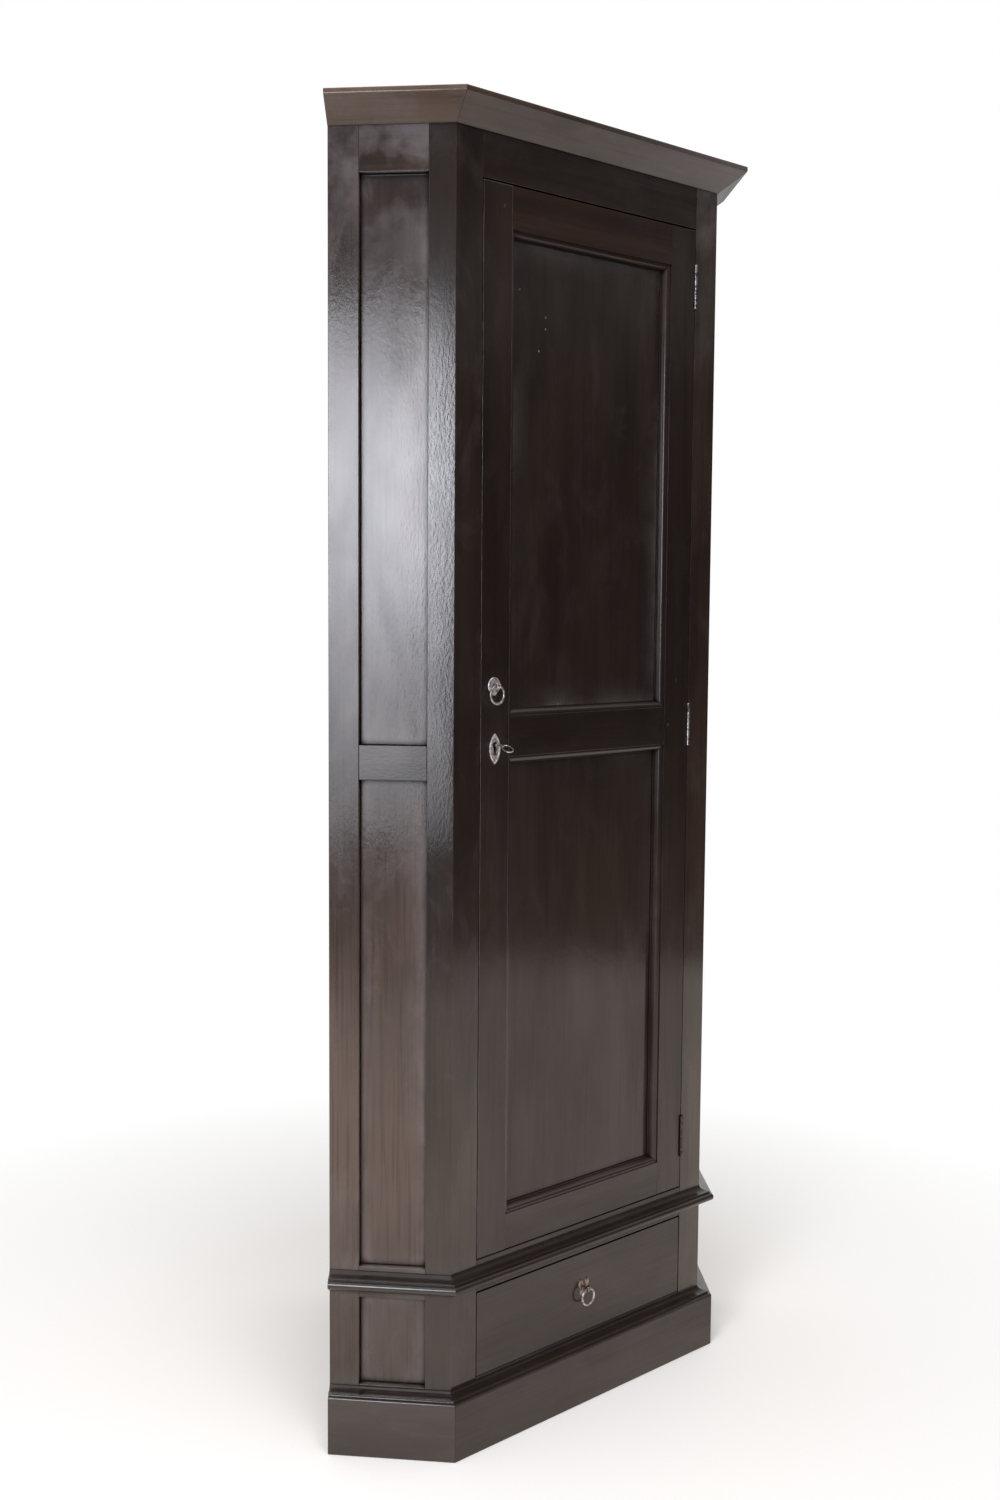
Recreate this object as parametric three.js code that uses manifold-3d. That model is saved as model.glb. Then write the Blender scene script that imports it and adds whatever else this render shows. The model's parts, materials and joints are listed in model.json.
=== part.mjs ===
import * as THREE from "three";
import { mergeVertices } from "three/addons/utils/BufferGeometryUtils.js";
import Module from "manifold-3d";

// Corner cupboard. Millimetres, Z up, front toward -Y, the room's corner at the back.

// Whole body
const overallHeight = 2000;
const frontWidth = 576.5;
const returnWidth = 185.7;
const returnTurnDegrees = 50;
const wallTurnDegrees = 135;

// Fits
const jointGap = 0.3;
const cutOverrun = 5;
const weldTolerance = 0.0001;

// Frame of the carcass
const frameThickness = 22;
const postFrontWidth = 51.5;
const postReturnWidth = 39;
const rearStileWidth = 45;
const tenonLength = 24;
const tenonSetback = 7;
const tenonThickness = 8;
const tenonShoulder = 9;

// Heights of the front, bottom to top
const baseRailTop = 105.4;
const waistRailBottom = 240;
const waistRailTop = 290.3;
const friezeHeight = 104.3;
const topBoardThickness = 12;

// Heights of the returns, bottom to top
const returnBaseRailTop = 102.7;
const returnWaistRailBottom = 240;
const returnWaistRailTop = 287.6;
const returnMiddleRailBottom = 1026;
const returnMiddleRailHeight = 51;
const returnTopRailHeight = 104;

// Boards
const returnPanelThickness = 10;
const backBoardThickness = 12;
const shelfThickness = 16;
const floorThickness = 15;
const shelfHousingDepth = 4;
const shelfSetback = 1;
const lowerShelfTop = 690;
const middleShelfTop = 1085;
const upperShelfTop = 1480;

// Cornice, a sloping face between a lip and a fillet
const corniceHeight = 39;
const corniceProjection = 45.6;
const corniceLip = 1.8;
const corniceFilletHeight = 7.5;
const corniceRounding = 1.6;

// Waist moulding, a rounded nose under a cove
const waistMouldingBottom = 250.5;
const waistMouldingHeight = 31;
const waistMouldingProjection = 23.8;
const waistUnderCoveOut = 15;
const waistNoseBottom = 6.5;
const waistNoseTop = 19.5;
const waistCoveFoot = 17;
const waistStepTop = 22.5;
const waistNoseRounding = 6.3;

// Plinth
const plinthHeight = 101;
const plinthProjection = 23.25;
const plinthNoseTop = 90;
const plinthNoseRounding = 3;
const plinthLipOut = 17;
const plinthLipTop = 94;
const plinthLipBottom = 92;
const plinthFootRounding = 2;

// Door
const doorSideGap = 1.8;
const doorFootGap = 1.8;
const doorHeadGap = 2.6;
const doorThickness = 22;
const doorStileWidth = 57.6;
const doorTopRailWidth = 62;
const doorMiddleRailBottom = 1056.4;
const doorMiddleRailHeight = 60.7;
const doorBottomRailWidth = 55;
const doorTenonLength = 15;
const doorPanelThickness = 6;
const doorMouldingMargin = 0.4;
const doorMouldingWidth = 11.6;
const doorMouldingDepth = 15;
const doorMouldingQuirk = 2;
const doorMouldingFillet = 2.5;

// Hinges
const hingeLength = 71;
const topHingeInset = 90.1;
const bottomHingeInset = 88.9;
const hingeKnuckles = 5;
const hingeBarrelRadius = 2.6;
const hingePinRadius = 1.2;
const hingePinClearance = 0.3;
const hingeAxisProud = 1.6;
const hingeLeafThickness = 1.4;
const hingeLeafDepth = 18;
const hingeLeafGap = 0.1;

// Lock, with its case let into the back of the lock stile
const lockCentreIn = 28.7;
const lockAxisAboveRail = 18.6;
const lockCaseWidth = 39;
const lockCaseThickness = 12;
const lockCaseBelowAxis = 23;
const lockCaseAboveAxis = 35;
const lockCavityRadius = 9;
const lockCavityDepth = 6;
const lockCavityBack = 3;
const boltAboveAxis = 13;
const boltHeight = 12;
const boltThickness = 5;
const boltLength = 32;
const boltThrow = 10;
const boltClearance = 0.6;
const keyholeRadius = 3.4;
const keyholeSlotWidth = 3.2;
const keyholeSlotDrop = 11;

// Escutcheon
const escutcheonWidth = 22.5;
const escutcheonHeight = 46.8;
const escutcheonCentreDrop = 5.5;
const escutcheonPlate = 1.2;
const escutcheonRimWidth = 3.2;
const escutcheonRimHeight = 2.6;

// Key
const keyShankRadius = 2.2;
const keyShankLength = 40;
const keyBitReach = 8.4;
const keyBitThickness = 2;
const keyBitWidth = 4.4;
const keyBowLength = 24;
const keyBowWidth = 20;
const keyBowWire = 1.5;
const keyCollarRadius = 3.2;
const keyCollarLength = 2;
const keyCollarProud = 9;
const keyBodyProud = 20;

// Ring pulls
const pullRingRadius = 13.4;
const pullRingWire = 1.9;
const pullEyeRadius = 4.7;
const pullEyeWidth = 7;
const pullEyeBore = 2.8;
const pullEyeGroove = 1;
const pullGrooveDepth = 1.2;
const pullPlate = 1.2;
const doorPullAboveLock = 89;
const doorPullIn = 26.7;
const doorPullStandoff = 7.6;
const doorRoseRadius = 12.6;
const doorRoseDome = 3.4;
const doorRoseTipDrop = 14.5;
const doorRoseTipWidth = 13;
const drawerPullHeight = 181;
const drawerPullStandoff = 10.5;
const drawerPetalWidth = 15;
const drawerPetalHeight = 17;
const drawerPetalDome = 3;
const drawerUpperPetalOut = 6.6;
const drawerUpperPetalUp = 8;
const drawerLowerPetalOut = 6;
const drawerLowerPetalDown = 8.6;

// Drawer
const drawerGap = 1.5;
const drawerRunGap = 0.4;
const drawerFrontThickness = 20;
const drawerBackClearance = 28.65;
const drawerSideThickness = 10;
const drawerSideInset = 1;
const drawerSideHeight = 120;
const drawerLapDepth = 11;
const drawerBackThickness = 10;
const drawerBottomThickness = 6;
const drawerBottomUp = 8;
const drawerGrooveDepth = 5;

// Facets
const cornerSegments = 5;
const roundSegments = 24;
const smallRoundSegments = 14;
const ringSegments = 36;
const domeSegments = 5;

// Derived sizes
const quarterTurn = Math.PI / 2;
const returnTurn = THREE.MathUtils.degToRad(returnTurnDegrees);
const wallTurn = THREE.MathUtils.degToRad(wallTurnDegrees);
const bodyTop = overallHeight - topBoardThickness;
const friezeRailBottom = overallHeight - friezeHeight;
const returnTopRailBottom = overallHeight - returnTopRailHeight;
const returnMiddleRailTop = returnMiddleRailBottom + returnMiddleRailHeight;
const doorMiddleRailTop = doorMiddleRailBottom + doorMiddleRailHeight;
const openingHalfWidth = frontWidth / 2 - postFrontWidth;
const doorHalfWidth = openingHalfWidth - doorSideGap;
const doorBottom = waistRailTop + doorFootGap;
const doorTop = friezeRailBottom - doorHeadGap;
const doorEdgeInner = doorHalfWidth - doorStileWidth;
const hingeAxisX = openingHalfWidth - doorSideGap / 2;
const hingeHeights = {
  top: doorTop - topHingeInset,
  middle: (doorMiddleRailBottom + doorMiddleRailTop) / 2,
  bottom: doorBottom + bottomHingeInset,
};
const lockAxisHeight = doorMiddleRailBottom + lockAxisAboveRail;
const lockCaseBottom = lockAxisHeight - lockCaseBelowAxis;
const lockCaseTop = lockAxisHeight + lockCaseAboveAxis;
const boltBottom = lockAxisHeight + boltAboveAxis;
const doorPullHeight = lockAxisHeight + doorPullAboveLock;
const liningInset = frameThickness + returnPanelThickness + jointGap + jointGap;

const wasm = await Module();
wasm.setup();

// Solids

function solidOf(geometry) {
  const bare = geometry.clone();
  bare.deleteAttribute("normal");
  bare.deleteAttribute("uv");
  const welded = mergeVertices(bare, weldTolerance);
  const corners = [];
  for (let i = 0; i < welded.index.count; i += 3) {
    const [a, b, c] = [welded.index.getX(i), welded.index.getX(i + 1), welded.index.getX(i + 2)];
    if (a !== b && b !== c && c !== a) {
      corners.push(a, b, c);
    }
  }
  return new wasm.Manifold(new wasm.Mesh({
    numProp: 3,
    vertProperties: Float32Array.from(welded.attributes.position.array),
    triVerts: Uint32Array.from(corners),
  }));
}

function geometryOf(solid) {
  const mesh = solid.getMesh();
  const geometry = new THREE.BufferGeometry();
  geometry.setAttribute("position", new THREE.BufferAttribute(Float32Array.from(mesh.vertProperties), 3));
  geometry.setIndex(new THREE.BufferAttribute(Uint32Array.from(mesh.triVerts), 1));
  geometry.computeVertexNormals();
  return geometry;
}

function joined(...solids) {
  return solids.reduce((whole, next) => whole.add(next));
}

function cut(solid, ...cutters) {
  return cutters.reduce((rest, cutter) => rest.subtract(cutter), solid);
}

function shapeOf(points) {
  return new THREE.Shape(points.map(([x, y]) => new THREE.Vector2(x, y)));
}

function extruded(shape, depth) {
  return new THREE.ExtrudeGeometry(shape, { depth, bevelEnabled: false, curveSegments: cornerSegments });
}

function prism(outline, bottom, top) {
  const geometry = extruded(shapeOf(outline), top - bottom);
  geometry.translate(0, 0, bottom);
  return solidOf(geometry);
}

function slab([x0, x1], [y0, y1], [z0, z1]) {
  const geometry = new THREE.BoxGeometry(x1 - x0, y1 - y0, z1 - z0);
  geometry.translate((x0 + x1) / 2, (y0 + y1) / 2, (z0 + z1) / 2);
  return solidOf(geometry);
}

function mirroredSpan(side, inner, outer) {
  return side > 0 ? [inner, outer] : [-outer, -inner];
}

// Rods along one axis, between two places on it

function rodAlongX(radius, x0, x1, y, z, segments) {
  const geometry = new THREE.CylinderGeometry(radius, radius, x1 - x0, segments);
  geometry.rotateZ(quarterTurn);
  geometry.translate((x0 + x1) / 2, y, z);
  return solidOf(geometry);
}

function rodAlongY(radius, x, y0, y1, z, segments) {
  const geometry = new THREE.CylinderGeometry(radius, radius, y1 - y0, segments);
  geometry.translate(x, (y0 + y1) / 2, z);
  return solidOf(geometry);
}

function rodAlongZ(radius, x, y, z0, z1, segments) {
  const geometry = new THREE.CylinderGeometry(radius, radius, z1 - z0, segments);
  geometry.rotateX(quarterTurn);
  geometry.translate(x, y, (z0 + z1) / 2);
  return solidOf(geometry);
}

// Plan lines run counter-clockwise round the body, and an inset moves one toward the inside

function planLine([x, y], turn, inset) {
  return { x: x - inset * Math.sin(turn), y: y + inset * Math.cos(turn), turn };
}

function meet(a, b) {
  const spread = Math.sin(b.turn - a.turn);
  const reach = ((b.x - a.x) * Math.sin(b.turn) - (b.y - a.y) * Math.cos(b.turn)) / spread;
  return [a.x + reach * Math.cos(a.turn), a.y + reach * Math.sin(a.turn)];
}

const frontCorner = [frontWidth / 2, 0];
const wallStart = onReturn(returnWidth);
const backCorner = meet(planLine(wallStart, wallTurn, 0), planLine([0, 0], quarterTurn, 0));

function onReturn(along) {
  return [frontCorner[0] + along * Math.cos(returnTurn), frontCorner[1] + along * Math.sin(returnTurn)];
}

function frontLine(inset) {
  return planLine(frontCorner, 0, inset);
}

function returnLine(inset) {
  return planLine(frontCorner, returnTurn, inset);
}

function wallLine(inset) {
  return planLine(wallStart, wallTurn, inset);
}

function farWallLine(inset) {
  return planLine(backCorner, wallTurn + quarterTurn, inset);
}

function acrossFront(x) {
  return planLine([x, 0], quarterTurn, 0);
}

function acrossReturn(along) {
  return planLine(onReturn(along), returnTurn + quarterTurn, 0);
}

function mitreLine(shift) {
  return planLine(frontCorner, (returnTurn + Math.PI) / 2 + Math.PI, shift);
}

function flipped(points) {
  return points.map(([x, y]) => [-x, y]).reverse();
}

function sided(side, points) {
  return side > 0 ? points : flipped(points);
}

function outlineOf(...lines) {
  return lines.map((line, i) => meet(line, lines[(i + 1) % lines.length]));
}

function bodyOutline(frontInset, returnInset, wallInset) {
  const half = [
    meet(frontLine(frontInset), returnLine(returnInset)),
    meet(returnLine(returnInset), wallLine(wallInset)),
  ];
  return [...half, meet(wallLine(wallInset), farWallLine(wallInset)), ...flipped(half)];
}

// Rails with a tenon at each end, and the mortises that take them

function tenonPrism(face, start, end, bottom, top, ease) {
  const outline = outlineOf(face(tenonSetback - ease), end, face(tenonSetback + tenonThickness + ease), start);
  return prism(outline, bottom + tenonShoulder - ease, top - tenonShoulder + ease);
}

function frontRail(bottom, top) {
  const shoulder = openingHalfWidth - jointGap;
  const reach = openingHalfWidth + tenonLength;
  const body = slab([-shoulder, shoulder], [0, frameThickness], [bottom, top]);
  const tenon = tenonPrism(frontLine, acrossFront(-reach), acrossFront(reach), bottom, top, 0);
  return joined(body, tenon);
}

function frontMortise(side, bottom, top) {
  const span = mirroredSpan(
    side,
    openingHalfWidth - cutOverrun,
    openingHalfWidth + tenonLength + jointGap,
  );
  return tenonPrism(frontLine, ...span.map(acrossFront), bottom, top, jointGap);
}

const returnRailStart = postReturnWidth;
const returnRailEnd = returnWidth - rearStileWidth;

function returnRail(side, bottom, top) {
  const body = outlineOf(
    returnLine(0),
    acrossReturn(returnRailEnd - jointGap),
    returnLine(frameThickness),
    acrossReturn(returnRailStart + jointGap),
  );
  const tenon = outlineOf(
    returnLine(tenonSetback),
    acrossReturn(returnRailEnd + tenonLength),
    returnLine(tenonSetback + tenonThickness),
    acrossReturn(returnRailStart - tenonLength),
  );
  return joined(
    prism(sided(side, body), bottom, top),
    prism(sided(side, tenon), bottom + tenonShoulder, top - tenonShoulder),
  );
}

function returnMortise(side, edge, direction, bottom, top) {
  const near = acrossReturn(edge - direction * cutOverrun);
  const far = acrossReturn(edge + direction * (tenonLength + jointGap));
  const outline = outlineOf(
    returnLine(tenonSetback - jointGap),
    direction > 0 ? far : near,
    returnLine(tenonSetback + tenonThickness + jointGap),
    direction > 0 ? near : far,
  );
  return prism(sided(side, outline), bottom + tenonShoulder - jointGap, top - tenonShoulder + jointGap);
}

const frontRails = {
  base_rail: [0, baseRailTop],
  waist_rail: [waistRailBottom, waistRailTop],
  frieze_rail: [friezeRailBottom, bodyTop],
};

const returnRails = {
  base_rail: [0, returnBaseRailTop],
  waist_rail: [returnWaistRailBottom, returnWaistRailTop],
  middle_rail: [returnMiddleRailBottom, returnMiddleRailTop],
  top_rail: [returnTopRailBottom, bodyTop],
};

function returnMortises(side, edge, direction) {
  return Object.values(returnRails).map(([bottom, top]) => returnMortise(side, edge, direction, bottom, top));
}

// Posts, each an angle in section

function cornerPost(side) {
  const outline = [
    frontCorner,
    meet(returnLine(0), acrossReturn(postReturnWidth)),
    meet(returnLine(frameThickness), acrossReturn(postReturnWidth)),
    meet(returnLine(frameThickness), frontLine(frameThickness)),
    meet(frontLine(frameThickness), acrossFront(openingHalfWidth)),
    meet(frontLine(0), acrossFront(openingHalfWidth)),
  ];
  const frontMortises = Object.values(frontRails).map(([bottom, top]) => frontMortise(side, bottom, top));
  const post = cut(
    prism(sided(side, outline), 0, bodyTop),
    ...frontMortises,
    ...returnMortises(side, postReturnWidth, -1),
  );
  return side > 0 ? cut(post, ...hingeSeats(1)) : cut(post, boltPocket());
}

function rearStile(side) {
  const outline = outlineOf(
    returnLine(0),
    wallLine(0),
    returnLine(frameThickness),
    acrossReturn(returnRailEnd),
  );
  return cut(prism(sided(side, outline), 0, bodyTop), ...returnMortises(side, returnRailEnd, 1));
}

// Boards

function returnPanel(side) {
  const near = frameThickness + jointGap;
  const outline = outlineOf(
    returnLine(near),
    wallLine(0),
    returnLine(near + returnPanelThickness),
    frontLine(near),
  );
  return prism(sided(side, outline), 0, bodyTop);
}

function housedOutline(ease) {
  const wallInset = backBoardThickness - shelfHousingDepth - ease;
  return bodyOutline(frameThickness + shelfSetback - ease, liningInset - ease, wallInset);
}

function housing([bottom, top]) {
  return prism(housedOutline(jointGap), bottom - jointGap, top + jointGap);
}

const housedBoards = {
  drawer_floor: [baseRailTop - floorThickness, baseRailTop],
  cupboard_floor: [waistRailTop - floorThickness, waistRailTop],
  lower_shelf: [lowerShelfTop - shelfThickness, lowerShelfTop],
  middle_shelf: [middleShelfTop - shelfThickness, middleShelfTop],
  upper_shelf: [upperShelfTop - shelfThickness, upperShelfTop],
};

function housedBoard([bottom, top]) {
  return prism(housedOutline(0), bottom, top);
}

function backBoard(side) {
  const lappedEnd = side > 0 ? farWallLine(0) : farWallLine(backBoardThickness + jointGap);
  const outline = outlineOf(
    wallLine(0),
    lappedEnd,
    wallLine(backBoardThickness),
    returnLine(liningInset),
  );
  return cut(prism(sided(side, outline), 0, bodyTop), ...Object.values(housedBoards).map(housing));
}

function topBoard() {
  return prism(bodyOutline(0, 0, 0), bodyTop, overallHeight);
}

// Mouldings, drawn as outward against upward and run between two plan lines

function corniceProfile() {
  const base = overallHeight - corniceHeight;
  const filletFoot = overallHeight - corniceFilletHeight;
  const profile = new THREE.Shape();
  profile.moveTo(jointGap, base);
  profile.lineTo(corniceLip, base);
  profile.lineTo(corniceProjection - corniceRounding, filletFoot - corniceRounding / 2);
  profile.quadraticCurveTo(corniceProjection, filletFoot, corniceProjection, filletFoot + corniceRounding);
  profile.lineTo(corniceProjection, overallHeight - corniceRounding);
  profile.quadraticCurveTo(
    corniceProjection,
    overallHeight,
    corniceProjection - corniceRounding,
    overallHeight,
  );
  profile.lineTo(jointGap, overallHeight);
  profile.closePath();
  return profile;
}

function waistProfile() {
  const base = waistMouldingBottom;
  const out = waistMouldingProjection;
  const round = waistNoseRounding;
  const top = base + waistMouldingHeight;
  const profile = new THREE.Shape();
  profile.moveTo(jointGap, base);
  profile.quadraticCurveTo(waistUnderCoveOut, base, waistUnderCoveOut, base + waistNoseBottom);
  profile.lineTo(out - round, base + waistNoseBottom);
  profile.quadraticCurveTo(out, base + waistNoseBottom, out, base + (waistNoseBottom + waistNoseTop) / 2);
  profile.quadraticCurveTo(out, base + waistNoseTop, out - round, base + waistNoseTop);
  profile.lineTo(waistCoveFoot, base + waistNoseTop);
  profile.lineTo(waistCoveFoot, base + waistStepTop);
  profile.quadraticCurveTo(jointGap, base + waistStepTop, jointGap, top);
  profile.closePath();
  return profile;
}

function plinthProfile() {
  const out = plinthProjection;
  const round = plinthNoseRounding;
  const profile = new THREE.Shape();
  profile.moveTo(jointGap, 0);
  profile.lineTo(out - plinthFootRounding, 0);
  profile.quadraticCurveTo(out, 0, out, plinthFootRounding);
  profile.lineTo(out, plinthNoseTop - round);
  profile.quadraticCurveTo(out, plinthNoseTop, out - round, plinthNoseTop);
  profile.lineTo(plinthLipOut - round, plinthNoseTop);
  profile.lineTo(plinthLipOut - round, plinthLipBottom);
  profile.lineTo(plinthLipOut, plinthLipBottom);
  profile.lineTo(plinthLipOut, plinthLipTop);
  profile.quadraticCurveTo(jointGap, plinthLipTop, jointGap, plinthHeight);
  profile.closePath();
  return profile;
}

function swept(profile, place) {
  const geometry = extruded(profile, 1);
  const position = geometry.attributes.position;
  for (let i = 0; i < position.count; i += 1) {
    const [x, y, z] = place(position.getX(i), position.getY(i), position.getZ(i));
    position.setXYZ(i, x, y, z);
  }
  return solidOf(geometry);
}

function between([x0, y0], [x1, y1], share) {
  return [x0 + (x1 - x0) * share, y0 + (y1 - y0) * share];
}

function moulding(profile, startAt, endAt) {
  return swept(profile, (out, up, share) => [...between(startAt(out), endAt(out), share), up]);
}

function frontMoulding(profile) {
  const right = (out) => meet(frontLine(-out), mitreLine(-jointGap / 2));
  const left = (out) => flipped([right(out)])[0];
  return moulding(profile, right, left);
}

function returnMoulding(side, profile) {
  const atWall = (out) => meet(returnLine(-out), wallLine(0));
  const atMitre = (out) => meet(returnLine(-out), mitreLine(jointGap / 2));
  if (side > 0) {
    return moulding(profile, atWall, atMitre);
  }
  return moulding(profile, (out) => flipped([atMitre(out)])[0], (out) => flipped([atWall(out)])[0]);
}

// Door

// A door member's edge from back to front, as inward against depth
const plainEdge = [[0, doorThickness], [0, 0]];

function mouldedEdge() {
  const innerDepth = doorMouldingDepth - doorMouldingFillet;
  const innerWidth = doorMouldingWidth - doorMouldingFillet;
  const curve = new THREE.QuadraticBezierCurve(
    new THREE.Vector2(innerWidth, innerDepth),
    new THREE.Vector2(innerWidth, doorMouldingQuirk),
    new THREE.Vector2(doorMouldingFillet, doorMouldingQuirk),
  );
  const edge = [
    [0, doorThickness],
    [0, doorMouldingDepth],
    [doorMouldingWidth, doorMouldingDepth],
    [doorMouldingWidth, innerDepth],
    ...curve.getPoints(cornerSegments).map((point) => [point.x, point.y]),
    [0, doorMouldingQuirk],
    [0, 0],
  ];
  return edge.map(([inward, depth]) => [inward + doorMouldingMargin, depth]);
}

const doorOpenings = {
  upper: [doorMiddleRailTop, doorTop - doorTopRailWidth],
  lower: [doorBottom + doorBottomRailWidth, doorMiddleRailBottom],
};

const doorRails = {
  door_bottom_rail: [doorBottom, doorBottom + doorBottomRailWidth],
  door_middle_rail: [doorMiddleRailBottom, doorMiddleRailTop],
  door_top_rail: [doorTop - doorTopRailWidth, doorTop],
};

const mitreReach = doorMouldingMargin + doorMouldingWidth + cutOverrun;

function uprightPrism(outline) {
  const depth = doorThickness + cutOverrun * 2;
  return uprightPlate(shapeOf(outline), depth, 0, doorThickness + cutOverrun, 0);
}

function doorTenon(bottom, top, reach, ease) {
  return slab(
    [-reach, reach],
    [tenonSetback - ease, tenonSetback + tenonThickness + ease],
    [bottom + tenonShoulder - ease, top - tenonShoulder + ease],
  );
}

// Takes a stile's moulding off where a rail meets it, with mitres toward the openings
function stileMitre(side, [low, lowSlope], [high, highSlope]) {
  const inner = doorEdgeInner - mitreReach;
  return uprightPrism(sided(side, [
    [inner, low - mitreReach * lowSlope],
    [doorEdgeInner, low],
    [doorEdgeInner, high],
    [inner, high + mitreReach * highSlope],
  ]));
}

function railMitres(edge, direction) {
  const shoulder = doorEdgeInner - jointGap;
  const far = edge + direction * mitreReach;
  const outline = [
    [shoulder, edge],
    [shoulder + cutOverrun, edge],
    [shoulder + cutOverrun, far],
    [shoulder - mitreReach, far],
  ];
  return [outline, flipped(outline)].map(uprightPrism);
}

function lyingPrism(outline, halfLength) {
  const geometry = extruded(shapeOf(outline), halfLength * 2);
  geometry.applyMatrix4(new THREE.Matrix4().makeBasis(
    new THREE.Vector3(0, 1, 0),
    new THREE.Vector3(0, 0, 1),
    new THREE.Vector3(1, 0, 0),
  ));
  geometry.translate(-halfLength, 0, 0);
  return solidOf(geometry);
}

function doorRail(bottom, top, mouldedBelow, mouldedAbove) {
  const below = mouldedBelow ? mouldedEdge() : plainEdge;
  const above = mouldedAbove ? mouldedEdge() : plainEdge;
  const outline = [
    ...[...below].reverse().map(([inward, depth]) => [depth, bottom - inward]),
    ...above.map(([inward, depth]) => [depth, top + inward]),
  ];
  const mitres = [
    ...(mouldedBelow ? railMitres(bottom, -1) : []),
    ...(mouldedAbove ? railMitres(top, 1) : []),
  ];
  const body = cut(lyingPrism(outline, doorEdgeInner - jointGap), ...mitres);
  return joined(body, doorTenon(bottom, top, doorEdgeInner + doorTenonLength, 0));
}

function doorStile(side) {
  const outline = [
    [doorHalfWidth, 0],
    [doorHalfWidth, doorThickness],
    ...mouldedEdge().map(([inward, depth]) => [doorEdgeInner - inward, depth]),
  ];
  const { upper, lower } = doorOpenings;
  const mitres = [
    stileMitre(side, [doorBottom - cutOverrun, 0], [lower[0] + jointGap, 1]),
    stileMitre(side, [lower[1] - jointGap, 1], [upper[0] + jointGap, 1]),
    stileMitre(side, [upper[1] - jointGap, 1], [doorTop + cutOverrun, 0]),
  ];
  const mortises = Object.values(doorRails).map(([bottom, top]) => (
    doorTenon(bottom, top, doorEdgeInner + doorTenonLength + jointGap, jointGap)
  ));
  const stile = cut(prism(sided(side, outline), doorBottom, doorTop), ...mitres, ...mortises);
  return side > 0 ? cut(stile, ...hingeSeats(-1)) : cut(stile, lockPocket(), keyhole(lockPocketFace, 0));
}

function doorPanel([bottom, top]) {
  const inset = doorMouldingMargin + jointGap;
  const half = doorEdgeInner - inset;
  const front = doorMouldingDepth + jointGap;
  return slab([-half, half], [front, front + doorPanelThickness], [bottom + inset, top - inset]);
}

// Butt hinges, the frame leaf carrying the pin

const knuckleHeight = hingeLength / hingeKnuckles;

function knuckleSpans(centre, ownParity) {
  const spans = [];
  for (let i = 0; i < hingeKnuckles; i += 1) {
    if (i % 2 === ownParity) {
      const bottom = centre - hingeLength / 2 + i * knuckleHeight;
      spans.push([bottom + jointGap / 2, bottom + knuckleHeight - jointGap / 2]);
    }
  }
  return spans;
}

function hingeLeaf(side, centre, ownParity) {
  const leafX = mirroredSpan(side, hingeLeafGap, hingeLeafGap + hingeLeafThickness).map((x) => x + hingeAxisX);
  const height = [centre - hingeLength / 2, centre + hingeLength / 2];
  const plateFront = hingeBarrelRadius - hingeAxisProud + jointGap;
  const plate = slab(leafX, [plateFront, hingeLeafDepth], height);
  const knuckles = knuckleSpans(centre, ownParity).map((span) => joined(
    slab(leafX, [-hingeAxisProud, plateFront + jointGap], span),
    rodAlongZ(hingeBarrelRadius, hingeAxisX, -hingeAxisProud, ...span, smallRoundSegments),
  ));
  return joined(plate, ...knuckles);
}

function frameLeaf(centre) {
  const half = hingeLength / 2 - jointGap / 2;
  const pin = rodAlongZ(
    hingePinRadius,
    hingeAxisX,
    -hingeAxisProud,
    centre - half,
    centre + half,
    smallRoundSegments,
  );
  return joined(hingeLeaf(1, centre, 0), pin);
}

function doorLeaf(centre) {
  const half = hingeLength / 2 + cutOverrun;
  const bore = rodAlongZ(
    hingePinRadius + hingePinClearance,
    hingeAxisX,
    -hingeAxisProud,
    centre - half,
    centre + half,
    smallRoundSegments,
  );
  return cut(hingeLeaf(-1, centre, 1), bore);
}

function hingeSeats(side) {
  return Object.values(hingeHeights).flatMap((centre) => {
    const z0 = centre - hingeLength / 2 - jointGap;
    const z1 = centre + hingeLength / 2 + jointGap;
    const depth = hingeLeafGap + hingeLeafThickness + jointGap;
    const leafX = mirroredSpan(side, 0, depth).map((x) => x + hingeAxisX);
    const barrel = hingeBarrelRadius + jointGap;
    return [
      slab(leafX, [-cutOverrun, hingeLeafDepth + jointGap], [z0, z1]),
      rodAlongZ(barrel, hingeAxisX, -hingeAxisProud, z0, z1, smallRoundSegments),
    ];
  });
}

// Lock

const lockAxisX = -doorHalfWidth + lockCentreIn;
const lockCaseBack = doorThickness;
const lockCaseFront = lockCaseBack - lockCaseThickness;
const lockPocketFace = lockCaseFront - jointGap;
const lockCaseEdge = -doorHalfWidth + jointGap;
const cavityBack = lockCaseBack - lockCavityBack;
const cavityFront = cavityBack - lockCavityDepth;
const boltFront = (cavityFront + cavityBack - boltThickness) / 2;

function lockPocket() {
  return slab(
    [-doorHalfWidth - cutOverrun, lockCaseEdge + lockCaseWidth + jointGap],
    [lockPocketFace, doorThickness + cutOverrun],
    [lockCaseBottom - jointGap, lockCaseTop + jointGap],
  );
}

function keyhole(back, front) {
  const span = [front - cutOverrun, back + cutOverrun];
  const half = keyholeSlotWidth / 2;
  return joined(
    rodAlongY(keyholeRadius, lockAxisX, ...span, lockAxisHeight, roundSegments),
    slab([lockAxisX - half, lockAxisX + half], span, [lockAxisHeight - keyholeSlotDrop, lockAxisHeight]),
  );
}

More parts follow.
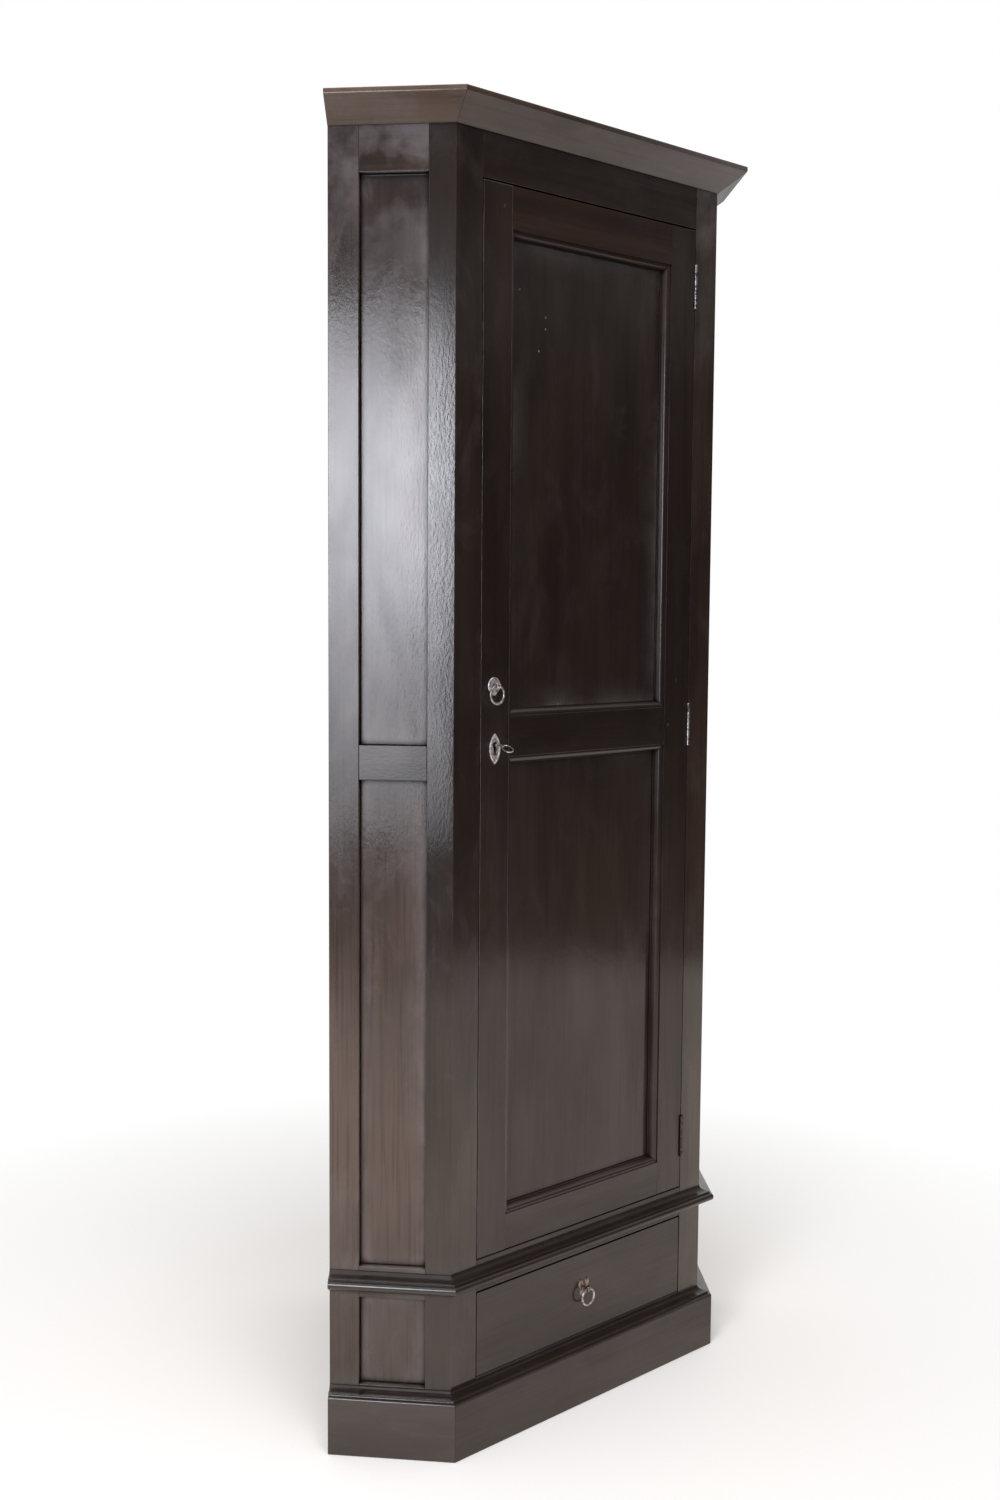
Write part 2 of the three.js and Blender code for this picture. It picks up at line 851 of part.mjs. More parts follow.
function lockCase() {
  const body = slab(
    [lockCaseEdge, lockCaseEdge + lockCaseWidth],
    [lockCaseFront, lockCaseBack],
    [lockCaseBottom, lockCaseTop],
  );
  const channel = slab(
    [lockCaseEdge - cutOverrun, lockCaseEdge + boltLength + boltClearance],
    [boltFront - boltClearance, boltFront + boltThickness + boltClearance],
    [boltBottom - boltClearance, boltBottom + boltHeight + boltClearance],
  );
  const cavity = rodAlongY(lockCavityRadius, lockAxisX, cavityFront, cavityBack, lockAxisHeight, roundSegments);
  return cut(body, channel, cavity, keyhole(cavityFront - cutOverrun, lockCaseFront));
}

function lockBolt() {
  return slab(
    [lockCaseEdge, lockCaseEdge + boltLength],
    [boltFront, boltFront + boltThickness],
    [boltBottom, boltBottom + boltHeight],
  );
}

function boltPocket() {
  const reach = openingHalfWidth + boltThrow + boltClearance;
  return slab(
    [-reach, -openingHalfWidth + cutOverrun],
    [boltFront - boltClearance, boltFront + boltThickness + boltClearance],
    [boltBottom - boltClearance, boltBottom + boltHeight + boltClearance],
  );
}

// Pointed oval of two arcs, given its half width and half height

function pointedOval(halfWidth, halfHeight) {
  const radius = (halfWidth * halfWidth + halfHeight * halfHeight) / (halfWidth * 2);
  const reach = Math.asin(halfHeight / radius);
  const shape = new THREE.Shape();
  shape.absarc(halfWidth - radius, 0, radius, -reach, reach, false);
  shape.absarc(radius - halfWidth, 0, radius, Math.PI - reach, Math.PI + reach, false);
  return shape;
}

function uprightPlate(shape, thickness, x, back, z) {
  const geometry = new THREE.ExtrudeGeometry(shape, {
    depth: thickness,
    bevelEnabled: false,
    curveSegments: smallRoundSegments,
  });
  geometry.rotateX(quarterTurn);
  geometry.translate(x, back, z);
  return solidOf(geometry);
}

function escutcheon() {
  const z = lockAxisHeight - escutcheonCentreDrop;
  const outer = [escutcheonWidth / 2, escutcheonHeight / 2];
  const inner = [outer[0] - escutcheonRimWidth, outer[1] - escutcheonRimWidth * 2];
  const plate = uprightPlate(pointedOval(...outer), escutcheonRimHeight, lockAxisX, 0, z);
  const well = uprightPlate(pointedOval(...inner), cutOverrun, lockAxisX, -escutcheonPlate, z);
  return cut(plate, well, keyhole(0, 0));
}

function key() {
  const shank = rodAlongY(
    keyShankRadius,
    lockAxisX,
    -keyBodyProud,
    cavityBack - boltClearance,
    lockAxisHeight,
    smallRoundSegments,
  );
  const collar = rodAlongY(
    keyCollarRadius,
    lockAxisX,
    -keyCollarProud - keyCollarLength,
    -keyCollarProud,
    lockAxisHeight,
    roundSegments,
  );
  const bitBack = cavityBack - boltClearance;
  const bit = slab(
    [lockAxisX, lockAxisX + keyBitReach],
    [bitBack - keyBitWidth, bitBack],
    [lockAxisHeight - keyBitThickness / 2, lockAxisHeight + keyBitThickness / 2],
  );
  const bowRadius = keyBowWidth / 2 - keyBowWire;
  const bow = new THREE.TorusGeometry(bowRadius, keyBowWire, smallRoundSegments, roundSegments);
  bow.scale(1, (keyBowLength - keyBowWire * 2) / (keyBowWidth - keyBowWire * 2), 1);
  bow.translate(lockAxisX, keyBowLength / 2 - keyShankLength, lockAxisHeight);
  return joined(shank, collar, bit, solidOf(bow));
}

// Ring pulls, built round the eye's centre with the backing face toward +Y

function dome(width, height, rise, x, z, face) {
  const points = [new THREE.Vector2(0, 0)];
  for (let i = 0; i <= domeSegments; i += 1) {
    const turn = quarterTurn * (i / domeSegments);
    points.push(new THREE.Vector2(Math.cos(turn), Math.sin(turn)));
  }
  points[points.length - 1].x = 0;
  const geometry = new THREE.LatheGeometry(points, roundSegments);
  geometry.scale(width / 2, rise, height / 2);
  geometry.rotateX(Math.PI);
  geometry.translate(x, face, z);
  return solidOf(geometry);
}

function pullEye(standoff) {
  const half = pullEyeWidth / 2;
  const lug = rodAlongX(pullEyeRadius, -half, half, 0, 0, roundSegments);
  const neck = slab([-half, half], [0, standoff], [-pullEyeRadius, pullEyeRadius / 2]);
  const bore = rodAlongX(pullEyeBore, -pullEyeWidth, pullEyeWidth, 0, 0, roundSegments);
  const groove = slab(
    [-pullEyeGroove / 2, pullEyeGroove / 2],
    [-pullEyeRadius - cutOverrun, pullGrooveDepth - pullEyeRadius],
    [-pullEyeRadius, pullEyeRadius],
  );
  return cut(joined(lug, neck), bore, groove);
}

function pullRing() {
  const geometry = new THREE.TorusGeometry(pullRingRadius, pullRingWire, smallRoundSegments, ringSegments);
  geometry.rotateX(quarterTurn);
  geometry.translate(0, 0, -pullRingRadius);
  return solidOf(geometry);
}

function doorRose() {
  const face = doorPullStandoff;
  const tip = pointedOval(doorRoseTipWidth / 2, doorRoseTipDrop);
  return joined(
    dome(doorRoseRadius * 2, doorRoseRadius * 2, doorRoseDome, 0, 0, face),
    uprightPlate(tip, doorRoseDome - pullPlate, 0, face, 0),
    pullEye(face),
  );
}

function drawerRose() {
  const face = drawerPullStandoff;
  const petal = (x, z) => dome(drawerPetalWidth, drawerPetalHeight, drawerPetalDome, x, z, face);
  return joined(
    petal(-drawerUpperPetalOut, drawerUpperPetalUp),
    petal(drawerUpperPetalOut, drawerUpperPetalUp),
    petal(-drawerLowerPetalOut, -drawerLowerPetalDown),
    petal(drawerLowerPetalOut, -drawerLowerPetalDown),
    dome(drawerPetalWidth, drawerPetalWidth, drawerPetalDome, 0, 0, face),
    pullEye(face),
  );
}

// Drawer, a square box on the drawer floor

const drawerBottomEdge = baseRailTop + drawerRunGap;
const drawerFrontTop = waistRailBottom - drawerGap;
const drawerHalfWidth = openingHalfWidth - drawerGap;
const drawerSideOuter = drawerHalfWidth - drawerSideInset;
const drawerSideInner = drawerSideOuter - drawerSideThickness;
const drawerSideTop = drawerBottomEdge + drawerSideHeight;
const drawerPlyBottom = drawerBottomEdge + drawerBottomUp;
const drawerReach = meet(wallLine(backBoardThickness), acrossFront(drawerSideOuter))[1];
const drawerDepth = drawerReach - drawerBackClearance;

function drawerBottom(ease) {
  const half = drawerSideInner + drawerGrooveDepth - jointGap + ease;
  return slab(
    [-half, half],
    [drawerFrontThickness - drawerGrooveDepth + jointGap - ease, drawerDepth],
    [drawerPlyBottom - ease, drawerPlyBottom + drawerBottomThickness + ease],
  );
}

function drawerFront() {
  const body = slab(
    [-drawerHalfWidth, drawerHalfWidth],
    [0, drawerFrontThickness],
    [drawerBottomEdge, drawerFrontTop],
  );
  const laps = [-1, 1].map((side) => slab(
    mirroredSpan(side, drawerSideInner - jointGap, drawerHalfWidth + cutOverrun),
    [drawerLapDepth, drawerFrontThickness + cutOverrun],
    [drawerBottomEdge - cutOverrun, drawerSideTop + jointGap],
  ));
  return cut(body, ...laps, drawerBottom(jointGap));
}

function drawerSide(side) {
  const body = slab(
    mirroredSpan(side, drawerSideInner, drawerSideOuter),
    [drawerLapDepth + jointGap, drawerDepth],
    [drawerBottomEdge, drawerSideTop],
  );
  return cut(body, drawerBottom(jointGap));
}

function drawerBack() {
  const half = drawerSideInner - jointGap;
  return slab(
    [-half, half],
    [drawerDepth - drawerBackThickness, drawerDepth],
    [drawerPlyBottom + drawerBottomThickness + jointGap, drawerSideTop],
  );
}

// Materials

function polishedWood() {
  return new THREE.MeshStandardMaterial({ color: 0x2c2320, roughness: 0.34, metalness: 0 });
}

function plainWood() {
  return new THREE.MeshStandardMaterial({ color: 0x5a4230, roughness: 0.7, metalness: 0 });
}

function oldSilver() {
  return new THREE.MeshStandardMaterial({ color: 0x8d857f, roughness: 0.36, metalness: 1 });
}

function darkIron() {
  return new THREE.MeshStandardMaterial({ color: 0x4a4543, roughness: 0.5, metalness: 1 });
}

function lockSteel() {
  return new THREE.MeshStandardMaterial({ color: 0x6f6b68, roughness: 0.45, metalness: 1 });
}

// Assembly

function add(parent, name, solid, material) {
  const mesh = new THREE.Mesh(geometryOf(solid), material());
  mesh.name = name;
  parent.add(mesh);
  return mesh;
}

function addGroup(parent, name) {
  const group = new THREE.Group();
  group.name = name;
  parent.add(group);
  return group;
}

const sideNames = { left: -1, right: 1 };

function addReturn(parent, name, side) {
  add(parent, `${name}_rear_stile`, rearStile(side), polishedWood);
  for (const [rail, [bottom, top]] of Object.entries(returnRails)) {
    add(parent, `${name}_return_${rail}`, returnRail(side, bottom, top), polishedWood);
  }
  add(parent, `${name}_return_panel`, returnPanel(side), polishedWood);
}

function addMouldings(parent) {
  const profiles = { cornice: corniceProfile(), waist_moulding: waistProfile(), plinth: plinthProfile() };
  for (const [name, profile] of Object.entries(profiles)) {
    add(parent, `front_${name}`, frontMoulding(profile), polishedWood);
    for (const [sideName, side] of Object.entries(sideNames)) {
      add(parent, `${sideName}_${name}`, returnMoulding(side, profile), polishedWood);
    }
  }
}

function addCarcass(parent) {
  for (const [name, side] of Object.entries(sideNames)) {
    add(parent, `${name}_corner_post`, cornerPost(side), polishedWood);
    addReturn(parent, name, side);
    add(parent, `${name}_back_board`, backBoard(side), plainWood);
  }
  for (const [name, [bottom, top]] of Object.entries(frontRails)) {
    add(parent, name, frontRail(bottom, top), polishedWood);
  }
  for (const [name, span] of Object.entries(housedBoards)) {
    add(parent, name, housedBoard(span), plainWood);
  }
  add(parent, "top_board", topBoard(), plainWood);
  addMouldings(parent);
  for (const [name, centre] of Object.entries(hingeHeights)) {
    add(parent, `${name}_hinge_frame_leaf`, frameLeaf(centre), darkIron);
  }
}

function addDoor(parent) {
  add(parent, "door_lock_stile", doorStile(-1), polishedWood);
  add(parent, "door_hinge_stile", doorStile(1), polishedWood);
  for (const [name, [bottom, top]] of Object.entries(doorRails)) {
    add(parent, name, doorRail(bottom, top, bottom > doorBottom, top < doorTop), polishedWood);
  }
  for (const [name, opening] of Object.entries(doorOpenings)) {
    add(parent, `door_${name}_panel`, doorPanel(opening), polishedWood);
  }
  for (const [name, centre] of Object.entries(hingeHeights)) {
    add(parent, `${name}_hinge_door_leaf`, doorLeaf(centre), darkIron);
  }
  add(parent, "escutcheon", escutcheon(), oldSilver);
  add(parent, "lock_case", lockCase(), lockSteel);
  add(parent, "lock_bolt", lockBolt(), lockSteel);
  add(parent, "key", key(), oldSilver);
  const pull = addGroup(parent, "door_pull");
  pull.position.set(-doorHalfWidth + doorPullIn, -doorPullStandoff, doorPullHeight);
  add(pull, "door_pull_rose", doorRose(), oldSilver);
  add(pull, "door_pull_ring", pullRing(), oldSilver);
}

function addDrawer(parent) {
  add(parent, "drawer_front", drawerFront(), polishedWood);
  for (const [name, side] of Object.entries(sideNames)) {
    add(parent, `drawer_${name}_side`, drawerSide(side), plainWood);
  }
  add(parent, "drawer_back", drawerBack(), plainWood);
  add(parent, "drawer_bottom", drawerBottom(0), plainWood);
  const pull = addGroup(parent, "drawer_pull");
  pull.position.set(0, -drawerPullStandoff, drawerPullHeight);
  add(pull, "drawer_pull_rose", drawerRose(), oldSilver);
  add(pull, "drawer_pull_ring", pullRing(), oldSilver);
}

function cupboard() {
  const whole = new THREE.Group();
  whole.name = "corner_cupboard";
  const body = addGroup(whole, "cupboard");
  body.position.y = (corniceProjection - backCorner[1]) / 2;
  addCarcass(addGroup(body, "carcass"));
  addDoor(addGroup(body, "door"));
  addDrawer(addGroup(body, "drawer"));
  return whole;
}

export default cupboard();
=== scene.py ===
"""Corner cupboard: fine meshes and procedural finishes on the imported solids, with camera, floor and lamps."""
import json
import math
import random

import bmesh
import bpy
from mathutils import Matrix, Vector

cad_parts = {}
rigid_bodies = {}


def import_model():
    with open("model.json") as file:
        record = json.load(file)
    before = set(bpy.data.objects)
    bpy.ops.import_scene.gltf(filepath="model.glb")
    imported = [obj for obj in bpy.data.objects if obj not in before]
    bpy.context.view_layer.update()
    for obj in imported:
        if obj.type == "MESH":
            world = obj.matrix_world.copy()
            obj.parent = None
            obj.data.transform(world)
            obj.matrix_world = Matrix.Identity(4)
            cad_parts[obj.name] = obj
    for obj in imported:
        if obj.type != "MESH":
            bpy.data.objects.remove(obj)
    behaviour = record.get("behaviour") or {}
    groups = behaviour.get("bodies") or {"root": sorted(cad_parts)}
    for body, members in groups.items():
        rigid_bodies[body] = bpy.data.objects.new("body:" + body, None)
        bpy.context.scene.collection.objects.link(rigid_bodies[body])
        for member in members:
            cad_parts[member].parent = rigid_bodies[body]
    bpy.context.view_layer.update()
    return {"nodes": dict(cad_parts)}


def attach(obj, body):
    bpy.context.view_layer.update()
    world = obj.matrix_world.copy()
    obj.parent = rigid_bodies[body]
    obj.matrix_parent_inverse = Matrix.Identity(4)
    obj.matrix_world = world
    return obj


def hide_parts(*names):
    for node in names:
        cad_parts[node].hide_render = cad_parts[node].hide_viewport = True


for stray in list(bpy.data.objects):
    bpy.data.objects.remove(stray)
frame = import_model()
nodes = frame["nodes"]
random.seed(7)

# Driving sizes, as in the solids: millimetres, and turns in plan

MM = 0.001
QUARTER = math.radians(90)
TURN = math.radians(50)
WALL = math.radians(135)
HALF_FRONT = 288.25
RETURN_WIDTH = 185.7
GAP = 0.3
HEIGHT = 2000.0
CORNICE_OUT = 45.6
CORNICE_BASE = 1961.0
WAIST_BASE = 250.5
PLINTH_TOP = 101.0
RETURN_OPENINGS = ((102.7, 240.0), (287.6, 1026.0), (1077.0, 1896.0))

# Places on the front: along it, off it and up

PULL_X = -208.25
LOCK_X = -206.25
LOCK_Z = 1075.0
DOOR_STANDOFF = 7.6
DRAWER_STANDOFF = 10.5
DOOR_PULL = (PULL_X, -DOOR_STANDOFF, 1164.0)
DRAWER_PULL = (0.0, -DRAWER_STANDOFF, 181.0)
LOCK = (LOCK_X, 0, LOCK_Z)

# Pins and flecks on the door: from the left end of the front, and up

PINS = ((95, 1862), (472.6, 1860), (493, 1161), (474.6, 1088), (473, 318.5))
PIN_RADIUS = 2.6
SPECKS = ((141, 1751), (196, 1716), (196, 1699), (182, 1665), (231, 1130))
SPECK_RADIUS = 1.2
PANEL_BACK = 15.3

# Plan lines: a place, a turn and an inset, the front plane at y = 0


def plan_line(x, y, turn, inset):
    return (x - inset * math.sin(turn), y + inset * math.cos(turn), turn)


def meet(a, b):
    """Where two plan lines cross."""
    spread = math.sin(b[2] - a[2])
    reach = ((b[0] - a[0]) * math.sin(b[2]) - (b[1] - a[1]) * math.cos(b[2])) / spread
    return (a[0] + reach * math.cos(a[2]), a[1] + reach * math.sin(a[2]))


WALL_START = (HALF_FRONT + RETURN_WIDTH * math.cos(TURN), RETURN_WIDTH * math.sin(TURN))
CORNER_DEPTH = WALL_START[0] + WALL_START[1]
SHIFT = (CORNICE_OUT - CORNER_DEPTH) / 2


def front_line(inset):
    return plan_line(HALF_FRONT, 0, 0, inset)


def return_line(inset):
    return plan_line(HALF_FRONT, 0, TURN, inset)


def mitre_line(shift):
    return plan_line(HALF_FRONT, 0, (TURN + math.pi) / 2 + math.pi, shift)


def wall_line():
    return plan_line(*WALL_START, WALL, 0)


def at(x, y, z):
    """A place in metres, from millimetres off the foot of the front plane's middle."""
    return Vector((x * MM, (y + SHIFT) * MM, z * MM))


# Node trees for materials, lamps and the world


def scaled(colour, factor):
    return tuple(value * factor for value in colour)


class Wiring:
    """A node tree under way, and short ways to add to it."""

    def __init__(self, tree):
        self.tree = tree

    def node(self, kind, **values):
        made = self.tree.nodes.new(kind)
        for key, value in values.items():
            setattr(made, key, value)
        return made

    def link(self, a, b):
        self.tree.links.new(a, b)

    def fill(self, socket, value):
        """Sets a socket to a number or a colour, or links it."""
        if isinstance(value, tuple):
            socket.default_value = (*value, 1)
        elif isinstance(value, (int, float)):
            socket.default_value = value
        else:
            self.link(value, socket)

    def ramp(self, value, *stops):
        """Colours between stops, each a place and a colour."""
        made = self.node("ShaderNodeValToRGB")
        elements = made.color_ramp.elements
        for i, (place, colour) in enumerate(stops):
            stop = elements[i] if i < 2 else elements.new(place)
            stop.position = place
            stop.color = (*colour, 1)
        self.link(value, made.inputs[0])
        return made.outputs["Color"]

    def remap(self, value, low, high, to_low, to_high):
        made = self.node("ShaderNodeMapRange")
        for i, number in enumerate((low, high, to_low, to_high), 1):
            made.inputs[i].default_value = number
        self.link(value, made.inputs[0])
        return made.outputs[0]

    def math(self, operation, a, b, clamp=False):
        made = self.node("ShaderNodeMath", operation=operation, use_clamp=clamp)
        self.fill(made.inputs[0], a)
        self.fill(made.inputs[1], b)
        return made.outputs[0]

    def blend(self, factor, a, b):
        """Colour a, turning to colour b as the factor goes from 0 to 1."""
        made = self.node("ShaderNodeMix", data_type="RGBA")
        self.fill(made.inputs[0], factor)
        self.fill(made.inputs[6], a)
        self.fill(made.inputs[7], b)
        return made.outputs[2]

    def mix_shaders(self, factor, a, b):
        made = self.node("ShaderNodeMixShader")
        for socket, value in zip(made.inputs, (factor, a, b)):
            self.link(value, socket)
        return made.outputs[0]


# Materials by name, and the turns that bring the grain to local Z

MATS = {}
UPRIGHT = (0, 0, 0)
CROSS = (0, QUARTER, 0)
DEEP = (QUARTER, 0, 0)
PIECE_SHIFT = (3.1, 5.7, 9.3)


class Mat(Wiring):
    """A material by name, with its shader."""

    def __init__(self, name):
        self.mat = bpy.data.materials.new(name)
        self.mat.use_nodes = True
        super().__init__(self.mat.node_tree)
        self.tree.nodes.clear()
        self.out = self.node("ShaderNodeOutputMaterial")
        self.shader = self.node("ShaderNodeBsdfPrincipled")
        self.link(self.shader.outputs[0], self.out.inputs[0])
        MATS[name] = self.mat

    def set(self, **values):
        for key, value in values.items():
            self.shader.inputs[key.replace("_", " ")].default_value = value

    def feed(self, name, value):
        self.link(value, self.shader.inputs[name])

    def coords(self, turn=UPRIGHT, scale=(1, 1, 1), apart=True):
        """Object coordinates, turned so that the grain runs along local Z, and apart for each piece."""
        coord = self.node("ShaderNodeTexCoord")
        source = coord.outputs["Object"]
        if apart:
            info = self.node("ShaderNodeObjectInfo")
            push = self.node("ShaderNodeVectorMath", operation="SCALE")
            push.inputs[0].default_value = PIECE_SHIFT
            self.link(info.outputs["Random"], push.inputs["Scale"])
            add = self.node("ShaderNodeVectorMath", operation="ADD")
            self.link(source, add.inputs[0])
            self.link(push.outputs[0], add.inputs[1])
            source = add.outputs[0]
        mapping = self.node("ShaderNodeMapping")
        mapping.inputs["Rotation"].default_value = turn
        self.link(source, mapping.inputs[0])
        stretch = self.node("ShaderNodeMapping")
        stretch.inputs["Scale"].default_value = scale
        self.link(mapping.outputs[0], stretch.inputs[0])
        return stretch.outputs[0]

    def noise(self, vector, scale, detail, rough, distort=0.0):
        made = self.node("ShaderNodeTexNoise")
        made.inputs["Scale"].default_value = scale
        made.inputs["Detail"].default_value = detail
        made.inputs["Roughness"].default_value = rough
        made.inputs["Distortion"].default_value = distort
        self.link(vector, made.inputs["Vector"])
        return made.outputs["Fac"]

    def bump(self, height, strength, distance, under=None):
        """A normal from a height, its distance in metres, laid over another normal if there is one."""
        made = self.node("ShaderNodeBump")
        made.inputs["Strength"].default_value = strength
        made.inputs["Distance"].default_value = distance
        self.link(height, made.inputs["Height"])
        if under is not None:
            self.link(under, made.inputs["Normal"])
        return made.outputs[0]

    def place(self, axis):
        """Where a point lies along an object axis, in metres."""
        coord = self.node("ShaderNodeTexCoord")
        split = self.node("ShaderNodeSeparateXYZ")
        self.link(coord.outputs["Object"], split.inputs[0])
        return split.outputs[axis]

    def eased_edges(self, radius):
        """Eased normals, and how far they turn: 0 on the flat, up to 1 at an arris or in a corner."""
        eased = self.node("ShaderNodeBevel", samples=4)
        eased.inputs["Radius"].default_value = radius
        here = self.node("ShaderNodeNewGeometry")
        facing = self.node("ShaderNodeVectorMath", operation="DOT_PRODUCT")
        self.link(eased.outputs[0], facing.inputs[0])
        self.link(here.outputs["Normal"], facing.inputs[1])
        return eased.outputs[0], self.remap(facing.outputs["Value"], 0.995, 0.86, 0.0, 1.0)

    def hollows(self, distance, full, clear=0.94, samples=6):
        """1 where a corner or a cove leaves a point as little open as full says, 0 where as much as clear."""
        shade = self.node("ShaderNodeAmbientOcclusion", samples=samples)
        shade.inputs["Distance"].default_value = distance
        return self.remap(shade.outputs["AO"], clear, full, 0.0, 1.0)


# Polished wood: what holds unless a finish has its own value, heights in metres

POLISH = {
    "lift": 1.0,  # factor on the colours of the grain, also used as painted light: higher on faces that are more brightly lit
    "base": 0.02,  # share of the pale brown between the patches
    "brown": 0.0,  # its share in the patches, beyond a tenth
    "faded": 0.10,  # more of it lower down, coming in between the two heights of the band: painted light standing for the lit floor's reflection on the lower faces
    "band": (1.08, 0.86),
    "pale": (0.082, 0.049, 0.034),
    "gloss": 0.86,  # weight of the polish
    "index": 1.5,  # its index of refraction
    "peel": 0.35,  # depth of its fine unevenness, in millimetres
    "haze": 0.02,  # pale bloom in smears
    "milk": 0.10,  # pale bloom along inner corners
    "keep": 0.0,  # share of that bloom kept in the corner itself, painted light over the shade there
    "crown": 0.0,  # pale bloom in clouds toward the top
    "drift": 0.0,  # pale bloom toward the right end, in place of the clouds
    "reach": 9,  # how far a hollow is felt, in millimetres
    "deep": 0.3,  # openness at which a hollow is full
    "clear": 0.94,  # openness at which it ends
    "soil": 0.5,  # how far hollows are darkened, as painted shade
    "wear": 0.75,  # how far arrises are rubbed
    "bare": (0.115, 0.088, 0.072),  # colour of a rubbed arris; on the lock stile a painted highlight
}
GRAIN_DARK = (0.0052, 0.0025, 0.0018)
GRAIN_LIGHT = (0.0150, 0.0073, 0.0050)
PORE = (0.0045, 0.0025, 0.002)
# The colour of the painted shade in hollows
HOLLOW_SHADE = (0.0045, 0.0022, 0.0016)
BLOOM = (0.34, 0.31, 0.33)

# Its reaches in millimetres, then the heights and the run between which an effect comes in, in metres

ARRIS = 1.2
MARGIN = 42
FLOOR_FADE = (0.02, 0.05)
LOW_FADE = (0.12, 0.42)
CROWN_RISE = (1.74, 1.93)
DRIFT_RUN = (-0.10, 0.33)


def wood_patterns(m, turn):
    """The noises that a polished finish is made of."""
    plain = m.coords(turn)
    return {
        "figure": m.noise(m.coords(turn, (16, 16, 0.8)), 1.6, 6, 0.62, 0.8),
        "pores": m.noise(m.coords(turn, (230, 230, 5.0)), 1.0, 3, 0.6),
        "cloud": m.noise(plain, 6.5, 5, 0.6),
        "rubs": m.noise(plain, 38.0, 4, 0.65),
        "patch": m.noise(m.coords(turn, (1, 1, 0.28)), 9.0, 4, 0.6, 0.4),
        "scuff": m.noise(m.coords(turn, (1, 1, 0.5)), 16.0, 6, 0.72, 0.6),
        "ripple": m.noise(m.coords(turn, (11, 11, 1.9)), 1.0, 2, 0.5),
        "speck": m.noise(m.coords(turn, (1, 1, 0.45)), 260.0, 2, 0.6),
    }


def wood_colour(m, look, seen):
    """Dark figure, the pale brown over it in patches and, as painted light, more of it lower down, and the
    pores.
    """
    grain = m.ramp(
        seen["figure"],
        (0.30, scaled(GRAIN_DARK, look["lift"])),
        (0.72, scaled(GRAIN_LIGHT, look["lift"])),
    )
    # Painted light: the lower faces lighter, standing for the lit floor's reflection, less so right at the
    # floor
    faded = m.remap(m.place("Z"), *look["band"], 0.0, look["faded"])
    faded = m.math("MULTIPLY", faded, m.remap(m.place("Z"), *LOW_FADE, 0.35, 1.0))
    patches = m.remap(seen["patch"], 0.46, 0.70, look["base"], 0.10 + look["brown"])
    warm = m.blend(m.math("ADD", faded, patches), grain, look["pale"])
    return m.blend(m.remap(seen["pores"], 0.50, 0.70, 0.0, 0.42), warm, PORE)


def bloom(m, look, seen, hollow):
    """How much pale bloom lies on the polish; where it is kept in the corners themselves, it is painted light
    over their shade.
    """
    smears = m.remap(seen["scuff"], 0.52, 0.76, 0.0, look["haze"])
    margin = m.hollows(MARGIN * MM, 0.62, samples=5)
    ledge = m.math("MULTIPLY", margin, m.remap(hollow, 0.05, 0.5, 1.0, look["keep"]))
    dusty = m.remap(seen["cloud"], 0.40, 0.62, 0.15 * look["milk"], look["milk"])
    if look["drift"]:
        end = m.remap(m.place("X"), *DRIFT_RUN, 0.0, look["drift"])
    else:
        high = m.remap(m.place("Z"), *CROWN_RISE, 0.0, look["crown"])
        end = m.math("MULTIPLY", high, m.remap(seen["cloud"], 0.46, 0.60, 0.0, 1.0))
    return m.math("ADD", m.math("ADD", smears, m.math("MULTIPLY", ledge, dusty)), end)


def rubbed(m, look, seen, hollow, edge):
    """How far the wood is rubbed bare: along arrises, here and there, and not in hollows; on the lock stile its
    pale arrises are a painted highlight.
    """
    arris = m.math("MULTIPLY", edge, m.remap(hollow, 0.0, 0.35, 1.0, 0.0))
    return m.math("MULTIPLY", arris, m.remap(seen["rubs"], 0.42, 0.66, look["wear"] - 0.7, look["wear"]))


def polish_layer(m, look, seen, hollow, worn):
    """The polish itself: uneven in patches, thin in hollows and on rubbed arrises."""
    weight = m.remap(seen["patch"], 0.36, 0.64, look["gloss"] * 0.82, look["gloss"] * 1.1)
    kept = m.math("MULTIPLY", weight, m.remap(hollow, 0.1, 0.8, 1.0, max(0.0, 0.75 - look["soil"])))
    m.feed("Coat Weight", m.math("MULTIPLY", kept, m.remap(worn, 0.0, 1.0, 1.0, 0.6)))
    dull = m.remap(seen["cloud"], 0.32, 0.68, 0.075, 0.165)
    m.feed("Coat Roughness", m.math("ADD", dull, m.remap(seen["scuff"], 0.5, 0.8, 0.0, 0.10)))
    m.feed("Specular IOR Level", m.remap(hollow, 0.1, 0.8, min(0.20, look["gloss"]), 0.0))
    m.set(Coat_IOR=look["index"], IOR=1.5)


